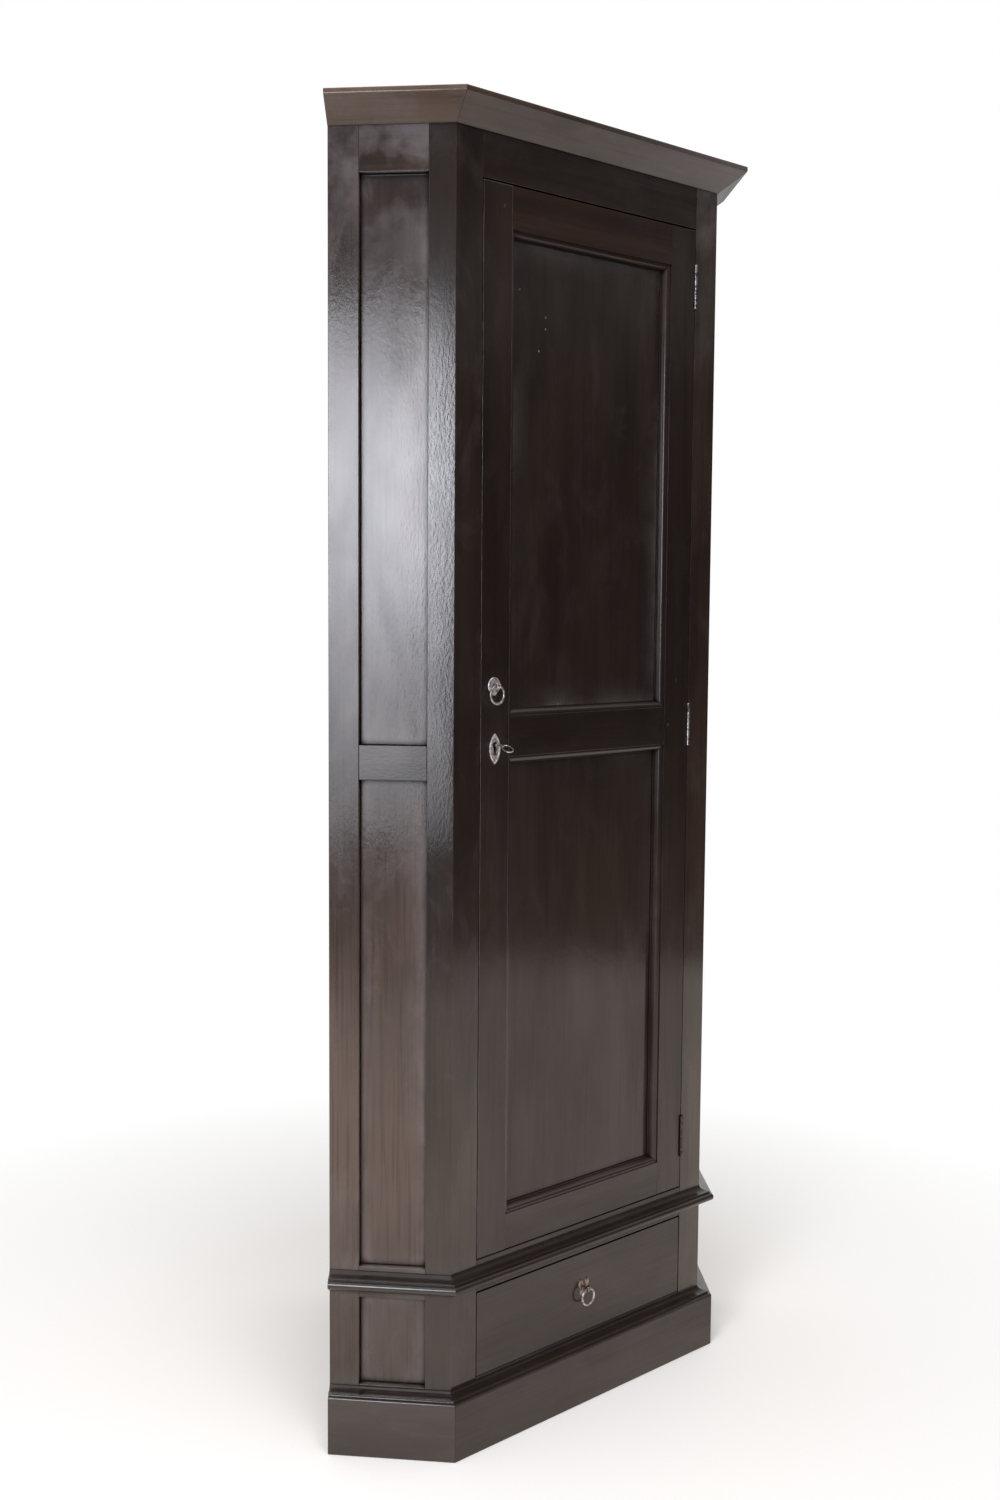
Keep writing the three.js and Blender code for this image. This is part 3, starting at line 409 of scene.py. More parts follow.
def polished(name, turn, **own):
    """Near-black brown wood under a gloss polish, its grain along local Z after the turn."""
    look = {**POLISH, **own}
    m = Mat(name)
    seen = wood_patterns(m, turn)
    off_floor = m.remap(m.place("Z"), *FLOOR_FADE, 0.0, 1.0)
    hollow = m.math("MULTIPLY", m.hollows(look["reach"] * MM, look["deep"], look["clear"]), off_floor)
    eased, edge = m.eased_edges(ARRIS * MM)
    worn = rubbed(m, look, seen, hollow, edge)
    # Hollows, found by ambient occlusion, are darkened toward that colour: painted shade in corners, coves,
    # gaps and recesses
    soiled = m.blend(m.math("MULTIPLY", hollow, look["soil"]), wood_colour(m, look, seen), HOLLOW_SHADE)
    bloomed = m.blend(bloom(m, look, seen, hollow), soiled, BLOOM)
    m.feed("Base Color", m.blend(worn, bloomed, look["bare"]))
    dull = m.remap(seen["cloud"], 0.3, 0.7, 0.36, 0.5)
    rough = m.math("ADD", dull, m.remap(seen["pores"], 0.45, 0.75, 0.0, 0.10))
    m.feed("Roughness", m.math("ADD", rough, m.math("MULTIPLY", hollow, 0.2)))
    polish_layer(m, look, seen, hollow, worn)
    waved = m.bump(seen["ripple"], 0.35, 0.0010, eased)
    figured = m.bump(seen["figure"], 0.12, 0.0004, waved)
    m.feed("Normal", m.bump(seen["pores"], 0.22, 0.00012, figured))
    m.feed("Coat Normal", m.bump(seen["speck"], 0.22, look["peel"] * MM, waved))


BOARD_DARK = (0.060, 0.033, 0.018)
BOARD_LIGHT = (0.165, 0.098, 0.056)
BOARD_PORE = (0.03, 0.016, 0.009)
BOARD_DUST = (0.12, 0.085, 0.06)
METAL_GRIME = (0.05, 0.03, 0.022)


def plain_wood(name, turn):
    """Dry brown board, unpolished, for the inside and the back."""
    m = Mat(name)
    figure = m.noise(m.coords(turn, (11, 11, 0.8)), 1.5, 6, 0.62, 1.1)
    pores = m.noise(m.coords(turn, (160, 160, 4)), 1.0, 3, 0.6)
    cloud = m.noise(m.coords(turn), 4.0, 4, 0.6)
    grain = m.ramp(figure, (0.28, BOARD_DARK), (0.75, BOARD_LIGHT))
    pored = m.blend(m.remap(pores, 0.5, 0.75, 0.0, 0.6), grain, BOARD_PORE)
    m.feed("Base Color", m.blend(m.remap(cloud, 0.5, 0.85, 0.0, 0.4), pored, BOARD_DUST))
    m.feed("Roughness", m.remap(cloud, 0.3, 0.7, 0.62, 0.82))
    m.feed("Normal", m.bump(pores, 0.4, 0.0003, m.bump(figure, 0.25, 0.0008)))


def metal(name, light, dark, rough, patches=(0.42, 0.62)):
    """Old metal: bright where it is rubbed, dark in patches, with fine pits."""
    m = Mat(name)
    plain = m.coords(apart=False)
    cloud = m.noise(plain, 260, 5, 0.62)
    pits = m.noise(plain, 900, 3, 0.6)
    soft = m.noise(plain, 90, 3, 0.5)
    stained = m.blend(m.remap(cloud, *patches, 0.0, 1.0), light, dark)
    crevice = m.math("MULTIPLY", m.hollows(0.003, 0.45), 0.8)
    m.feed("Base Color", m.blend(crevice, stained, METAL_GRIME))
    m.feed("Roughness", m.remap(cloud, 0.35, 0.7, *rough))
    m.feed("Normal", m.bump(pits, 0.35, 0.00018, m.bump(soft, 0.35, 0.0006)))
    m.set(Metallic=1.0)


# Finishes


def along_return(side):
    """The turn that brings a return's direction in plan to local Z."""
    level = Matrix.Rotation(-side * TURN, 3, "Z")
    return tuple((Matrix.Rotation(QUARTER, 3, "Y") @ level).to_euler())


LEFT, RIGHT = along_return(-1), along_return(1)
POST = {"gloss": 1.0, "haze": 0.05, "peel": 0.4, "milk": 0.2, "wear": 1.0, "band": (0.95, 0.45)}
SIDE = {
    "gloss": 1.0, "haze": 0.10, "peel": 0.55, "milk": 0.34, "crown": 0.20, "soil": 0.7, "reach": 11,
    "band": (1.02, 0.48),
}
RUN = {"reach": 18, "milk": 0.0, "clear": 0.95}
CORNICE = {"faded": 0.0, "haze": 0.06, "milk": 0.0, "crown": 0.10, "soil": 0.2}

# These are copies of one wood: their colour factors are set per face to paint in how brightly it is lit, so the
# returns and their panels, the posts, the top rail, the left moulding run and the cornice's copies are lit and
# shaded copies of one material
polished("polish_upright", UPRIGHT)
# The lock stile's arrises are pale: a painted highlight of the window along the door's left edge
polished("polish_lock", UPRIGHT, wear=1.1, bare=(0.40, 0.37, 0.38))
# On the upper panel the bloom reaches into the corners and the hollows are not darkened: painted light over the
# shade under the top rail's moulding
polished("panel_upper", UPRIGHT, soil=0.0, milk=0.30, haze=0.03, keep=1.0)
polished("panel_lower", UPRIGHT, lift=1.1, brown=0.05, milk=0.14)
polished("polish_cross", CROSS)
polished("polish_top", CROSS, lift=1.5, gloss=0.45, reach=18, soil=0.1, deep=0.72, wear=0.1)
polished("post_left", UPRIGHT, lift=0.9, brown=0.03, faded=0.28, index=1.55, **POST)
polished("post_right", UPRIGHT, lift=1.45, brown=0.24, faded=0.16, crown=0.16, **POST)
polished("polish_left", LEFT, lift=1.2, brown=0.35, faded=0.55, **SIDE)
polished("polish_right", RIGHT, lift=1.2, brown=0.35, faded=0.55, **SIDE)
polished("polish_side", UPRIGHT, lift=1.5, brown=0.36, faded=0.96, pale=(0.088, 0.058, 0.045), **SIDE)
polished("run_cross", CROSS, brown=0.05, gloss=0.78, soil=1.0, deep=0.74, **RUN)
polished(
    "run_left", LEFT,
    lift=0.9, brown=0.06, gloss=1.0, faded=0.02, haze=0.05, soil=0.75, deep=0.52, index=1.67, **RUN)
polished(
    "run_right", RIGHT,
    lift=1.1, brown=0.10, gloss=0.95, faded=0.05, haze=0.04, soil=0.9, deep=0.58, index=1.54, **RUN)
polished("polish_cornice", CROSS, lift=1.7, brown=0.5, gloss=0.85, base=0.12, drift=0.22, **CORNICE)
# The cornice's left return is much lighter: painted light, evening out the light that falls off on it toward
# the corner
polished("polish_cornice_left", LEFT, lift=2.4, brown=1.0, gloss=0.72, base=0.9, index=1.6, **CORNICE)
polished("polish_cornice_right", RIGHT, lift=1.8, brown=0.5, gloss=0.12, base=0.3, **CORNICE)
polished(
    "speck", UPRIGHT,
    lift=14.0, gloss=0.3, faded=0.0, haze=1.0, milk=0.0, wear=1.4, bare=(0.62, 0.56, 0.55))
polished("peg_wood", UPRIGHT, lift=2.0, brown=0.3, haze=0.2)
plain_wood("plain_upright", UPRIGHT)
plain_wood("plain_cross", CROSS)
plain_wood("plain_deep", DEEP)
metal("pull_metal", (0.72, 0.68, 0.70), (0.24, 0.18, 0.15), (0.28, 0.45), (0.44, 0.62))
metal("plate_metal", (0.88, 0.85, 0.91), (0.26, 0.19, 0.16), (0.42, 0.60), (0.49, 0.64))
metal("rose_metal", (0.46, 0.38, 0.36), (0.15, 0.10, 0.08), (0.34, 0.52))
metal("hinge_iron", (0.14, 0.11, 0.10), (0.04, 0.03, 0.025), (0.38, 0.55))
metal("hinge_bright", (0.80, 0.78, 0.80), (0.12, 0.09, 0.08), (0.30, 0.50), (0.44, 0.58))
metal("lock_steel", (0.34, 0.32, 0.30), (0.12, 0.09, 0.07), (0.35, 0.55))

OWN_FINISH = {
    "door_top_rail": "polish_top",
    "door_lock_stile": "polish_lock",
    "door_upper_panel": "panel_upper",
    "door_lower_panel": "panel_lower",
    "left_back_board": "plain_upright",
    "right_back_board": "plain_upright",
    "drawer_left_side": "plain_deep",
    "drawer_right_side": "plain_deep",
}
LEVEL_BOARDS = (
    "drawer_floor", "cupboard_floor", "lower_shelf", "middle_shelf", "upper_shelf", "top_board",
    "drawer_back", "drawer_bottom",
)
FRONT_RAILS = ("frieze_rail", "waist_rail", "base_rail")

# How far edges are eased, in millimetres

RAIL_EASE = 1.4
FRONT_EASE = 1.0
BOARD_EASE = 0.45
LOCK_EASE = 0.4


def wood_for(node):
    """The finish of a wooden node, its grain along the member."""
    if node in OWN_FINISH:
        return OWN_FINISH[node]
    if node in LEVEL_BOARDS:
        return "plain_cross"
    if node.endswith(("return_panel", "rear_stile")):
        return "polish_side"
    if node.endswith("corner_post"):
        return "post_" + node.split("_")[0]
    if not node.endswith(("rail", "drawer_front")):
        return "polish_upright"
    for side in ("left", "right"):
        if node.startswith(side + "_"):
            return "polish_" + side
    return "polish_cross"


def finish_for(node):
    """A node's finish, and how far its edges are eased."""
    if "hinge" in node and "leaf" in node:
        return "hinge_iron" if node.startswith("bottom") else "hinge_bright", 0
    if node.startswith("lock_"):
        return "lock_steel", LOCK_EASE
    if node in FRONT_RAILS:
        return wood_for(node), RAIL_EASE
    if node.startswith("door_") or node.endswith(("corner_post", "drawer_front")):
        return wood_for(node), FRONT_EASE
    return wood_for(node), BOARD_EASE


# Meshes

MERGE = 1e-7
WELD = 2e-6
CRISP_ANGLE = math.radians(50)
FLAT_ANGLE = math.radians(0.2)
EASED_ANGLE = math.radians(34)


def finish_mesh(bm, name, finish, body, sharp, node=None):
    """A mesh object from a bmesh: welded, faces outward, smooth between edges sharper than the angle."""
    bmesh.ops.remove_doubles(bm, verts=bm.verts, dist=MERGE)
    bmesh.ops.recalc_face_normals(bm, faces=bm.faces)
    limit = math.radians(sharp)
    for face in bm.faces:
        face.smooth = True
    for edge in bm.edges:
        edge.smooth = len(edge.link_faces) == 2 and edge.calc_face_angle(0) < limit
    mesh = bpy.data.meshes.new(name)
    bm.to_mesh(mesh)
    bm.free()
    mesh.materials.append(MATS[finish])
    made = bpy.data.objects.new(name, mesh)
    bpy.context.scene.collection.objects.link(made)
    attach(made, body)
    if node:
        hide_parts(node)


def sharpness_group():
    """Modifier nodes that smooth an imported solid between its sharp edges."""
    tree = bpy.data.node_groups.new("crisp_edges", "GeometryNodeTree")
    tree.interface.new_socket("Geometry", in_out="INPUT", socket_type="NodeSocketGeometry")
    tree.interface.new_socket("Geometry", in_out="OUTPUT", socket_type="NodeSocketGeometry")
    group = Wiring(tree)
    first = group.node("NodeGroupInput")
    last = group.node("NodeGroupOutput")
    faces = group.node("GeometryNodeSetShadeSmooth")
    edges = group.node("GeometryNodeSetShadeSmooth", domain="EDGE")
    angle = group.node("GeometryNodeInputMeshEdgeAngle")
    small = group.node("FunctionNodeCompare", data_type="FLOAT", operation="LESS_THAN")
    small.inputs[1].default_value = CRISP_ANGLE
    group.link(first.outputs[0], faces.inputs["Geometry"])
    group.link(faces.outputs[0], edges.inputs["Geometry"])
    group.link(angle.outputs["Unsigned Angle"], small.inputs[0])
    group.link(small.outputs[0], edges.inputs["Shade Smooth"])
    group.link(edges.outputs[0], last.inputs[0])
    return tree


CRISP = sharpness_group()


def dress(node, finish, ease):
    """Gives a node its finish, and eased edges through modifiers."""
    piece = nodes[node]
    for slot in piece.material_slots:
        slot.material = MATS[finish]
    weld = piece.modifiers.new("weld", "WELD")
    weld.merge_threshold = WELD
    flat = piece.modifiers.new("flat", "DECIMATE")
    flat.decimate_type = "DISSOLVE"
    flat.angle_limit = FLAT_ANGLE
    if ease:
        eased = piece.modifiers.new("ease", "BEVEL")
        eased.width = ease * MM
        eased.segments = 2
        eased.limit_method = "ANGLE"
        eased.angle_limit = EASED_ANGLE
    crisp = piece.modifiers.new("crisp", "NODES")
    crisp.node_group = CRISP
    weighted = piece.modifiers.new("weighted", "WEIGHTED_NORMAL")
    weighted.weight = 100
    weighted.keep_sharp = True


# Profiles of the mouldings, as outward against upward in millimetres


def arc(x0, y0, x1, y1, x2, y2, steps):
    """A quadratic curve from the first place toward the second and on to the third."""
    return [
        (
            (1 - t) ** 2 * x0 + 2 * t * (1 - t) * x1 + t * t * x2,
            (1 - t) ** 2 * y0 + 2 * t * (1 - t) * y1 + t * t * y2,
        )
        for t in (i / steps for i in range(steps + 1))
    ]


def nose(out, low, high, root):
    """A half-round between two heights, its front at out."""
    steps = 14
    rise = (high - low) / 2
    run = out - root
    return [
        (
            root + run * math.sin(math.pi * i / steps),
            low + rise - rise * math.cos(math.pi * i / steps),
        )
        for i in range(steps + 1)
    ]


def cove(out, top, drop, steps):
    """A hollow quarter that climbs from its outer end back to the body, ending at the top."""
    return [
        (out - (out - GAP) * math.sin(math.pi / 2 * t), top - drop * math.cos(math.pi / 2 * t))
        for t in (i / steps for i in range(steps + 1))
    ]


def cornice_profile():
    """A long slope up to a narrow upright edge, its corners rounded."""
    base, top = CORNICE_BASE, HEIGHT
    foot = top - 7.5
    front = 45.55
    return (
        [(GAP, base), (1.2, base)]
        + arc(1.2, base, 1.8, base, 2.2, base + 0.5, 3)
        + [(44.2, foot - 0.9)]
        + arc(44.2, foot - 0.9, front, foot - 0.2, front, foot + 1.2, 5)
        + arc(front, top - 1.8, front, top, 43.8, top, 6)
        + [(GAP, top)]
    )


def waist_profile():
    """A quarter round, a half round over it, a fillet and a cove."""
    base = WAIST_BASE
    under = [
        (15 * math.sin(math.pi / 2 * t) + GAP * (1 - t), base + 6.2 * (1 - math.cos(math.pi / 2 * t)))
        for t in (i / 10 for i in range(11))
    ]
    return (
        under
        + [(15.6, base + 6.4)]
        + nose(23.8, base + 6.5, base + 19.5, 17.4)
        + [(17.2, base + 19.7), (17.0, base + 22.2)]
        + cove(17, base + 31, 8.5, 12)
    )


def plinth_profile():
    """An upright board, rounded at its foot and its top, with a cove behind."""
    front = 23.25
    return (
        [(GAP, 0), (21.4, 0)]
        + arc(21.4, 0, 23.1, 0.1, 23.2, 2.2, 4)
        + [(front, 86.4)]
        + arc(front, 86.6, 23.2, 90, 19.4, 90.1, 8)
        + [(18.0, 90.5), (17.4, 91.3), (17.2, 92.6)]
        + cove(17, PLINTH_TOP, 7, 10)
    )


# Mouldings


def mitre_front(out):
    return meet(front_line(-out), mitre_line(-GAP / 2))


def mitre_side(out):
    return meet(return_line(-out), mitre_line(GAP / 2))


def wall_end(out):
    return meet(return_line(-out), wall_line())


def mirrored(place):
    return lambda out: (-place(out)[0], place(out)[1])


def moulding(node, profile, start, end, finish):
    """A profile run in even steps between two ends, each a place in plan for a distance outward."""
    bm = bmesh.new()
    steps = 24
    rows = []
    for i in range(steps + 1):
        share = i / steps
        row = []
        for out, up in profile:
            x0, y0 = start(out)
            x1, y1 = end(out)
            row.append(bm.verts.new(at(x0 + (x1 - x0) * share, y0 + (y1 - y0) * share, up)))
        rows.append(row)
    grid_faces(bm, rows, closed_rows=False)
    bm.faces.new(rows[0])
    bm.faces.new(rows[-1])
    finish_mesh(bm, node + "_run", finish, "carcass", 40, node)


def mouldings():
    runs = ("run_cross", "run_right", "run_left")
    cornices = ("polish_cornice", "polish_cornice_right", "polish_cornice_left")
    for name, profile, (front, right, left) in (
        ("cornice", cornice_profile(), cornices),
        ("waist_moulding", waist_profile(), runs),
        ("plinth", plinth_profile(), runs),
    ):
        moulding("front_" + name, profile, mitre_front, mirrored(mitre_front), front)
        moulding("right_" + name, profile, mitre_side, wall_end, right)
        moulding("left_" + name, profile, mirrored(mitre_side), mirrored(wall_end), left)


# Turned and shaped pieces, built round their own origin in millimetres and then put in place


def placed(bm, origin):
    for vert in bm.verts:
        vert.co = at(*origin) + vert.co * MM


def grid_faces(bm, rows, closed_rows=True, closed_cols=True):
    """Faces between rows of vertices, and round each row and from the last to the first if closed."""
    pairs = list(zip(rows, rows[1:])) + ([(rows[-1], rows[0])] if closed_rows else [])
    for a, b in pairs:
        count = len(a)
        for j in range(count if closed_cols else count - 1):
            k = (j + 1) % count
            bm.faces.new((a[j], a[k], b[k], b[j]))


def add_torus(bm, centre, radius_a, radius_b, wire, plane, flat=1.0, wobble=0.0):
    """A ring in the plane of two axes, its radii along each, its wire round or flattened."""
    first, second = Vector(plane[0]), Vector(plane[1])
    third = first.cross(second)
    steps = 72
    sides = 18
    rows = []
    for i in range(steps):
        turn = 2 * math.pi * i / steps
        out = first * math.cos(turn) + second * math.sin(turn)
        middle = Vector(centre) + first * radius_a * math.cos(turn) + second * radius_b * math.sin(turn)
        swell = 1 + wobble * math.sin(turn * 3 + 1.1)
        row = []
        for j in range(sides):
            spin = 2 * math.pi * j / sides
            side = out * math.cos(spin) * wire * swell + third * math.sin(spin) * wire * flat * swell
            row.append(bm.verts.new(middle + side))
        rows.append(row)
    grid_faces(bm, rows)


def add_lathe(bm, profile, axis):
    """A profile of radius against distance turned round an axis."""
    steps = 40
    axis = Vector(axis)
    first = axis.orthogonal().normalized()
    second = axis.cross(first)
    rows = []
    for i in range(steps):
        turn = 2 * math.pi * i / steps
        out = first * math.cos(turn) + second * math.sin(turn)
        rows.append([bm.verts.new(out * r + axis * d) for r, d in profile])
    grid_faces(bm, rows, closed_cols=False)
    for end in (0, -1):
        bm.faces.new([row[end] for row in rows])


def add_dome(bm, outline, height, centre, face, rings=14, steps=96):
    """A raised plate on a face at y = face: a radius for each turn, and a height for each share of it."""
    rows = []
    for i in range(rings + 1):
        share = math.sin(math.pi / 2 * i / rings)
        row = []
        for j in range(steps):
            turn = 2 * math.pi * j / steps
            radius = outline(turn) * max(share, 0.004)
            x = centre[0] + radius * math.cos(turn)
            z = centre[1] + radius * math.sin(turn)
            row.append(bm.verts.new((x, face - height(share, turn), z)))
        rows.append(row)
    rim = [bm.verts.new((v.co.x, face, v.co.z)) for v in rows[-1]]
    rows.append(rim)
    grid_faces(bm, rows, closed_rows=False)
    bm.faces.new(rows[0])
    bm.faces.new(rim)


def add_box(bm, low, high, ease):
    made = bmesh.ops.create_cube(bm, size=1)["verts"]
    for vert in made:
        vert.co = Vector([(low[i] + high[i]) / 2 + vert.co[i] * (high[i] - low[i]) for i in range(3)])
    edges = list({edge for vert in made for edge in vert.link_edges})
    bmesh.ops.bevel(bm, geom=edges, offset=ease, segments=2, affect="EDGES", profile=0.7)


def bell(value, middle, width):
    """1 at the middle, falling to nothing on both sides."""
    return math.exp(-((value - middle) / width) ** 2)


def dome(share, power=2):
    """1 at the centre of a plate, down to 0 at its rim."""
    return math.sqrt(max(0.0, 1 - share ** power))


def pull_ring(node, origin, body):
    """A ring that hangs from its origin, its wire a little uneven."""
    radius = 13.4
    wire = 1.88
    bm = bmesh.new()
    add_torus(bm, (0, 0, -radius), radius, radius, wire, ((1, 0, 0), (0, 0, 1)), wobble=0.012)
    placed(bm, origin)
    finish_mesh(bm, node + "_cast", "pull_metal", body, 60, node)


def add_eye(bm, standoff):
    """The bored knob that the ring hangs from: two cheeks with a groove between, on a neck."""
    cheek = [(2.95, 0.55), (4.1, 0.6), (4.6, 1.1), (4.68, 2.0), (4.5, 2.9), (3.9, 3.4), (2.95, 3.5)]
    steps = 36
    turns = [2 * math.pi * i / steps for i in range(steps)]
    for side in (-1, 1):
        grid_faces(bm, [
            [bm.verts.new((side * d, r * math.cos(turn), r * math.sin(turn))) for r, d in cheek]
            for turn in turns
        ])
    add_box(bm, (-2.6, 3.3, -3.4), (2.6, standoff - 0.6, 2.0), 0.6)


def door_rose():
    """A round rose with a tip below between two notches, and a finely waved rim."""
    bm = bmesh.new()

    def outline(turn):
        tip = 2.0 * max(0.0, -math.sin(turn)) ** 9
        return 12.6 + tip - 0.9 * bell(turn, 4.05, 0.22) - 0.9 * bell(turn, 5.37, 0.22)

    def rise(share, turn):
        body = 3.3 * dome(share) ** 1.2
        rim = 0.55 * bell(share, 0.9, 0.05)
        ripple = 0.12 * math.sin(turn * 24) * bell(share, 0.9, 0.07)
        return max(0.35, body * 0.94 + rim + ripple)

    add_dome(bm, outline, rise, (0, 0), DOOR_STANDOFF)
    add_eye(bm, DOOR_STANDOFF)
    placed(bm, DOOR_PULL)
    finish_mesh(bm, "door_pull_rose_cast", "plate_metal", "door", 50, "door_pull_rose")


def drawer_rose():
    """A rose of four veined petals round a boss."""
    bm = bmesh.new()

    def oval(width, height):
        def outline(turn):
            c, s = math.cos(turn) / width, math.sin(turn) / height
            return 1 / math.sqrt(c * c + s * s)
        return outline

    def petal_rise(share, turn):
        vein = 0.25 * bell(math.sin(turn - 1.57), 0, 0.25) * share
        return max(0.3, 1.9 * dome(share, 2.4) - vein)

    def boss_rise(share, turn):
        return 2.6 * math.sqrt(max(0.02, 1 - share ** 2))

    for x, z, width, height in ((6.4, 7, 5.6, 8.0), (4.6, -6.6, 4.8, 6.6)):
        for side in (-1, 1):
            add_dome(bm, oval(width, height), petal_rise, (side * x, z), DRAWER_STANDOFF, 10, 56)
    add_dome(bm, oval(5.6, 5.8), boss_rise, (0, 0), DRAWER_STANDOFF, 8, 48)
    add_eye(bm, DRAWER_STANDOFF)
    placed(bm, DRAWER_PULL)
    finish_mesh(bm, "drawer_pull_rose_cast", "rose_metal", "drawer", 50, "drawer_pull_rose")


def oval_point(half_width, half_height, share):
    """A place on a pointed oval, going round once."""
    radius = (half_width ** 2 + half_height ** 2) / (2 * half_width)
    reach = math.asin(half_height / radius)
    side = 1 if share < 0.5 else -1
    local = (share * 2) % 1.0
    turn = -reach + 2 * reach * local
    x = half_width - radius + radius * math.cos(turn)
    z = radius * math.sin(turn)
    return (side * x, side * z)


def keyhole_outline():
    """The keyhole round the lock's axis, going round from the slot's right side."""
    half = 2.7
    radius = 4.7
    foot = -14.0
    steps = 20
    start = math.asin(half / radius)
    points = [(half, foot)]
    for i in range(steps + 1):
        turn = start + (2 * math.pi - 2 * start) * i / steps
        points.append((radius * math.sin(turn), -radius * math.cos(turn)))
    points.append((-half, foot))
    return points


def escutcheon():
    """A pointed oval with a beaded rim round a sunk plate with the keyhole in it."""
    bm = bmesh.new()
    drop = -5.5
    steps = 96
    beads = 46
    levels = (
        (11.2, 23.3, 0.0), (11.2, 23.3, 0.7), (10.9, 22.8, 1.15), (10.4, 21.9, 1.4),
        (8.3, 17.9, 1.4), (8.0, 17.3, 1.1), (7.9, 17.1, 0.85),
    )
    sunk = levels[-1][2]
    rows = []
    for half_width, half_height, rise in levels:
        row = []
        for i in range(steps):
            x, z = oval_point(half_width, half_height, i / steps)
            row.append(bm.verts.new((x, -rise, z + drop)))
        rows.append(row)
    grid_faces(bm, rows, closed_rows=False)
    hole = keyhole_outline()
    front = [bm.verts.new((x, -sunk, z)) for x, z in hole]
    back = [bm.verts.new((x, 0.0, z)) for x, z in hole]
    grid_faces(bm, (front, back), closed_rows=False)
    for outer, inner in ((rows[-1], front), (rows[0], back)):
        loop = [bm.edges.get((a, b)) for a, b in zip(outer, outer[1:] + outer[:1])]
        ring = [bm.edges.get((a, b)) for a, b in zip(inner, inner[1:] + inner[:1])]
        bmesh.ops.triangle_fill(bm, use_beauty=True, edges=loop + ring)
    for i in range(beads):
        x, z = oval_point(9.45, 20.3, (i + 0.5) / beads)
        size = 1.12 + random.uniform(-0.05, 0.05)
        made = bmesh.ops.create_uvsphere(bm, u_segments=12, v_segments=8, radius=size)["verts"]
        for vert in made:
            vert.co = Vector((vert.co.x + x, vert.co.y * 1.05 - 1.35, vert.co.z + z + drop))
    placed(bm, LOCK)
    finish_mesh(bm, "escutcheon_cast", "plate_metal", "door", 40, "escutcheon")


def key():
    """Its shank, collars and bit along the lock's axis, and an open oval bow that droops a little."""
    bm = bmesh.new()
    shank = (
        (0.4, 18.3), (1.8, 18.2), (2.15, 17.8), (2.15, -5.0), (2.9, -5.4), (3.2, -6.2), (2.9, -7.0),
        (2.2, -7.4), (2.2, -8.8), (3.0, -9.3), (3.2, -10.0), (3.0, -10.7), (2.2, -11.2), (1.9, -15.0),
        (2.3, -17.6), (1.6, -19.0), (0.6, -19.4),
    )
    add_lathe(bm, shank, (0, 1, 0))
    droop = math.radians(21)
    tilt = math.radians(17)
    reach = 9.4
    lean = (0, math.cos(droop), math.sin(droop))
    middle = (0, -19.2 - reach * math.cos(droop), -reach * math.sin(droop))
    add_torus(bm, middle, 7.0, 10.6, 1.0, ((math.cos(tilt), 0, math.sin(tilt)), lean), flat=0.8)
    add_box(bm, (0.5, 14.0, -1.0), (8.3, 18.3, 1.0), 0.25)
    placed(bm, LOCK)
    finish_mesh(bm, "key_forged", "pull_metal", "key", 40, "key")


def return_fields(name, side):
    """The raised middles of a return's panel, one in each opening of its frame."""
    left, right = 39.4, 140.3
    face, back = 12.0, 24.0
    clearance = 0.4
    bm = bmesh.new()
    for bottom, top in RETURN_OPENINGS:
        add_box(bm, (left, face, bottom + clearance), (right, back, top - clearance), 0.8)
    for vert in bm.verts:
        along, inset, up = vert.co
        x = HALF_FRONT + along * math.cos(TURN) - inset * math.sin(TURN)
        y = along * math.sin(TURN) + inset * math.cos(TURN)
        vert.co = at(side * x, y, up)
    finish_mesh(bm, name, "polish_side", "carcass", 5)


def peg(name, x, z, radius, back, finish):
    """The end of a drawbored pin, or a fleck, a touch proud of a face that stands back from the front."""
    proud = 0.22
    steps = 20
    bm = bmesh.new()
    wander = [1 + random.uniform(-0.06, 0.06) for _ in range(steps)]
    rows = []
    for scale, rise in ((1.0, -0.4), (1.0, proud * 0.6), (0.88, proud), (0.02, proud * 1.1)):
        row = []
        for i in range(steps):
            turn = 2 * math.pi * i / steps
            reach = radius * scale * wander[i]
            row.append(bm.verts.new((reach * math.cos(turn), -rise, reach * math.sin(turn))))
        rows.append(row)
    grid_faces(bm, rows, closed_rows=False)
    bm.faces.new(rows[0])
    bm.faces.new(rows[-1])
    placed(bm, (x, back, z))
    finish_mesh(bm, name, finish, "door", 50)


REPLACED = ("_cornice", "_waist_moulding", "_plinth")
CAST = ("door_pull_ring", "drawer_pull_ring", "door_pull_rose", "drawer_pull_rose", "escutcheon", "key")
for node in nodes:
    if not node.endswith(REPLACED) and node not in CAST:
        dress(node, *finish_for(node))

mouldings()
return_fields("left_return_fields", -1)
return_fields("right_return_fields", 1)
pull_ring("door_pull_ring", DOOR_PULL, "door_ring")
pull_ring("drawer_pull_ring", DRAWER_PULL, "drawer_ring")
door_rose()
drawer_rose()
escutcheon()
key()
for i, (x, z) in enumerate(PINS):
    peg("door_peg_%d" % (i + 1), x - HALF_FRONT, z, PIN_RADIUS, 0.0, "peg_wood")
for i, (x, z) in enumerate(SPECKS):
    peg("door_speck_%d" % (i + 1), x - HALF_FRONT, z, SPECK_RADIUS, PANEL_BACK, "speck")

# Floor, background and lamps: metres, directions as shares of 1, stops as place and strength

FLOOR_RADIUS = 3.5
FLOOR_WHITE = (0.6, 1.5)
BEHIND = (0.05, 0.35)
STUDIO = ((0.0, 0.05), (0.12, 0.05), (0.18, 0.30), (0.24, 0.055), (0.36, 0.16), (0.66, 0.7), (1.0, 1.25))
STUDIO_TINT = (1.0, 0.965, 0.94)
WINDOW_GLOW = ((0.0, 0.12), (0.19, 0.28), (0.36, 0.39), (0.53, 0.67), (0.72, 0.83), (0.88, 0.52), (1.0, 0.30))


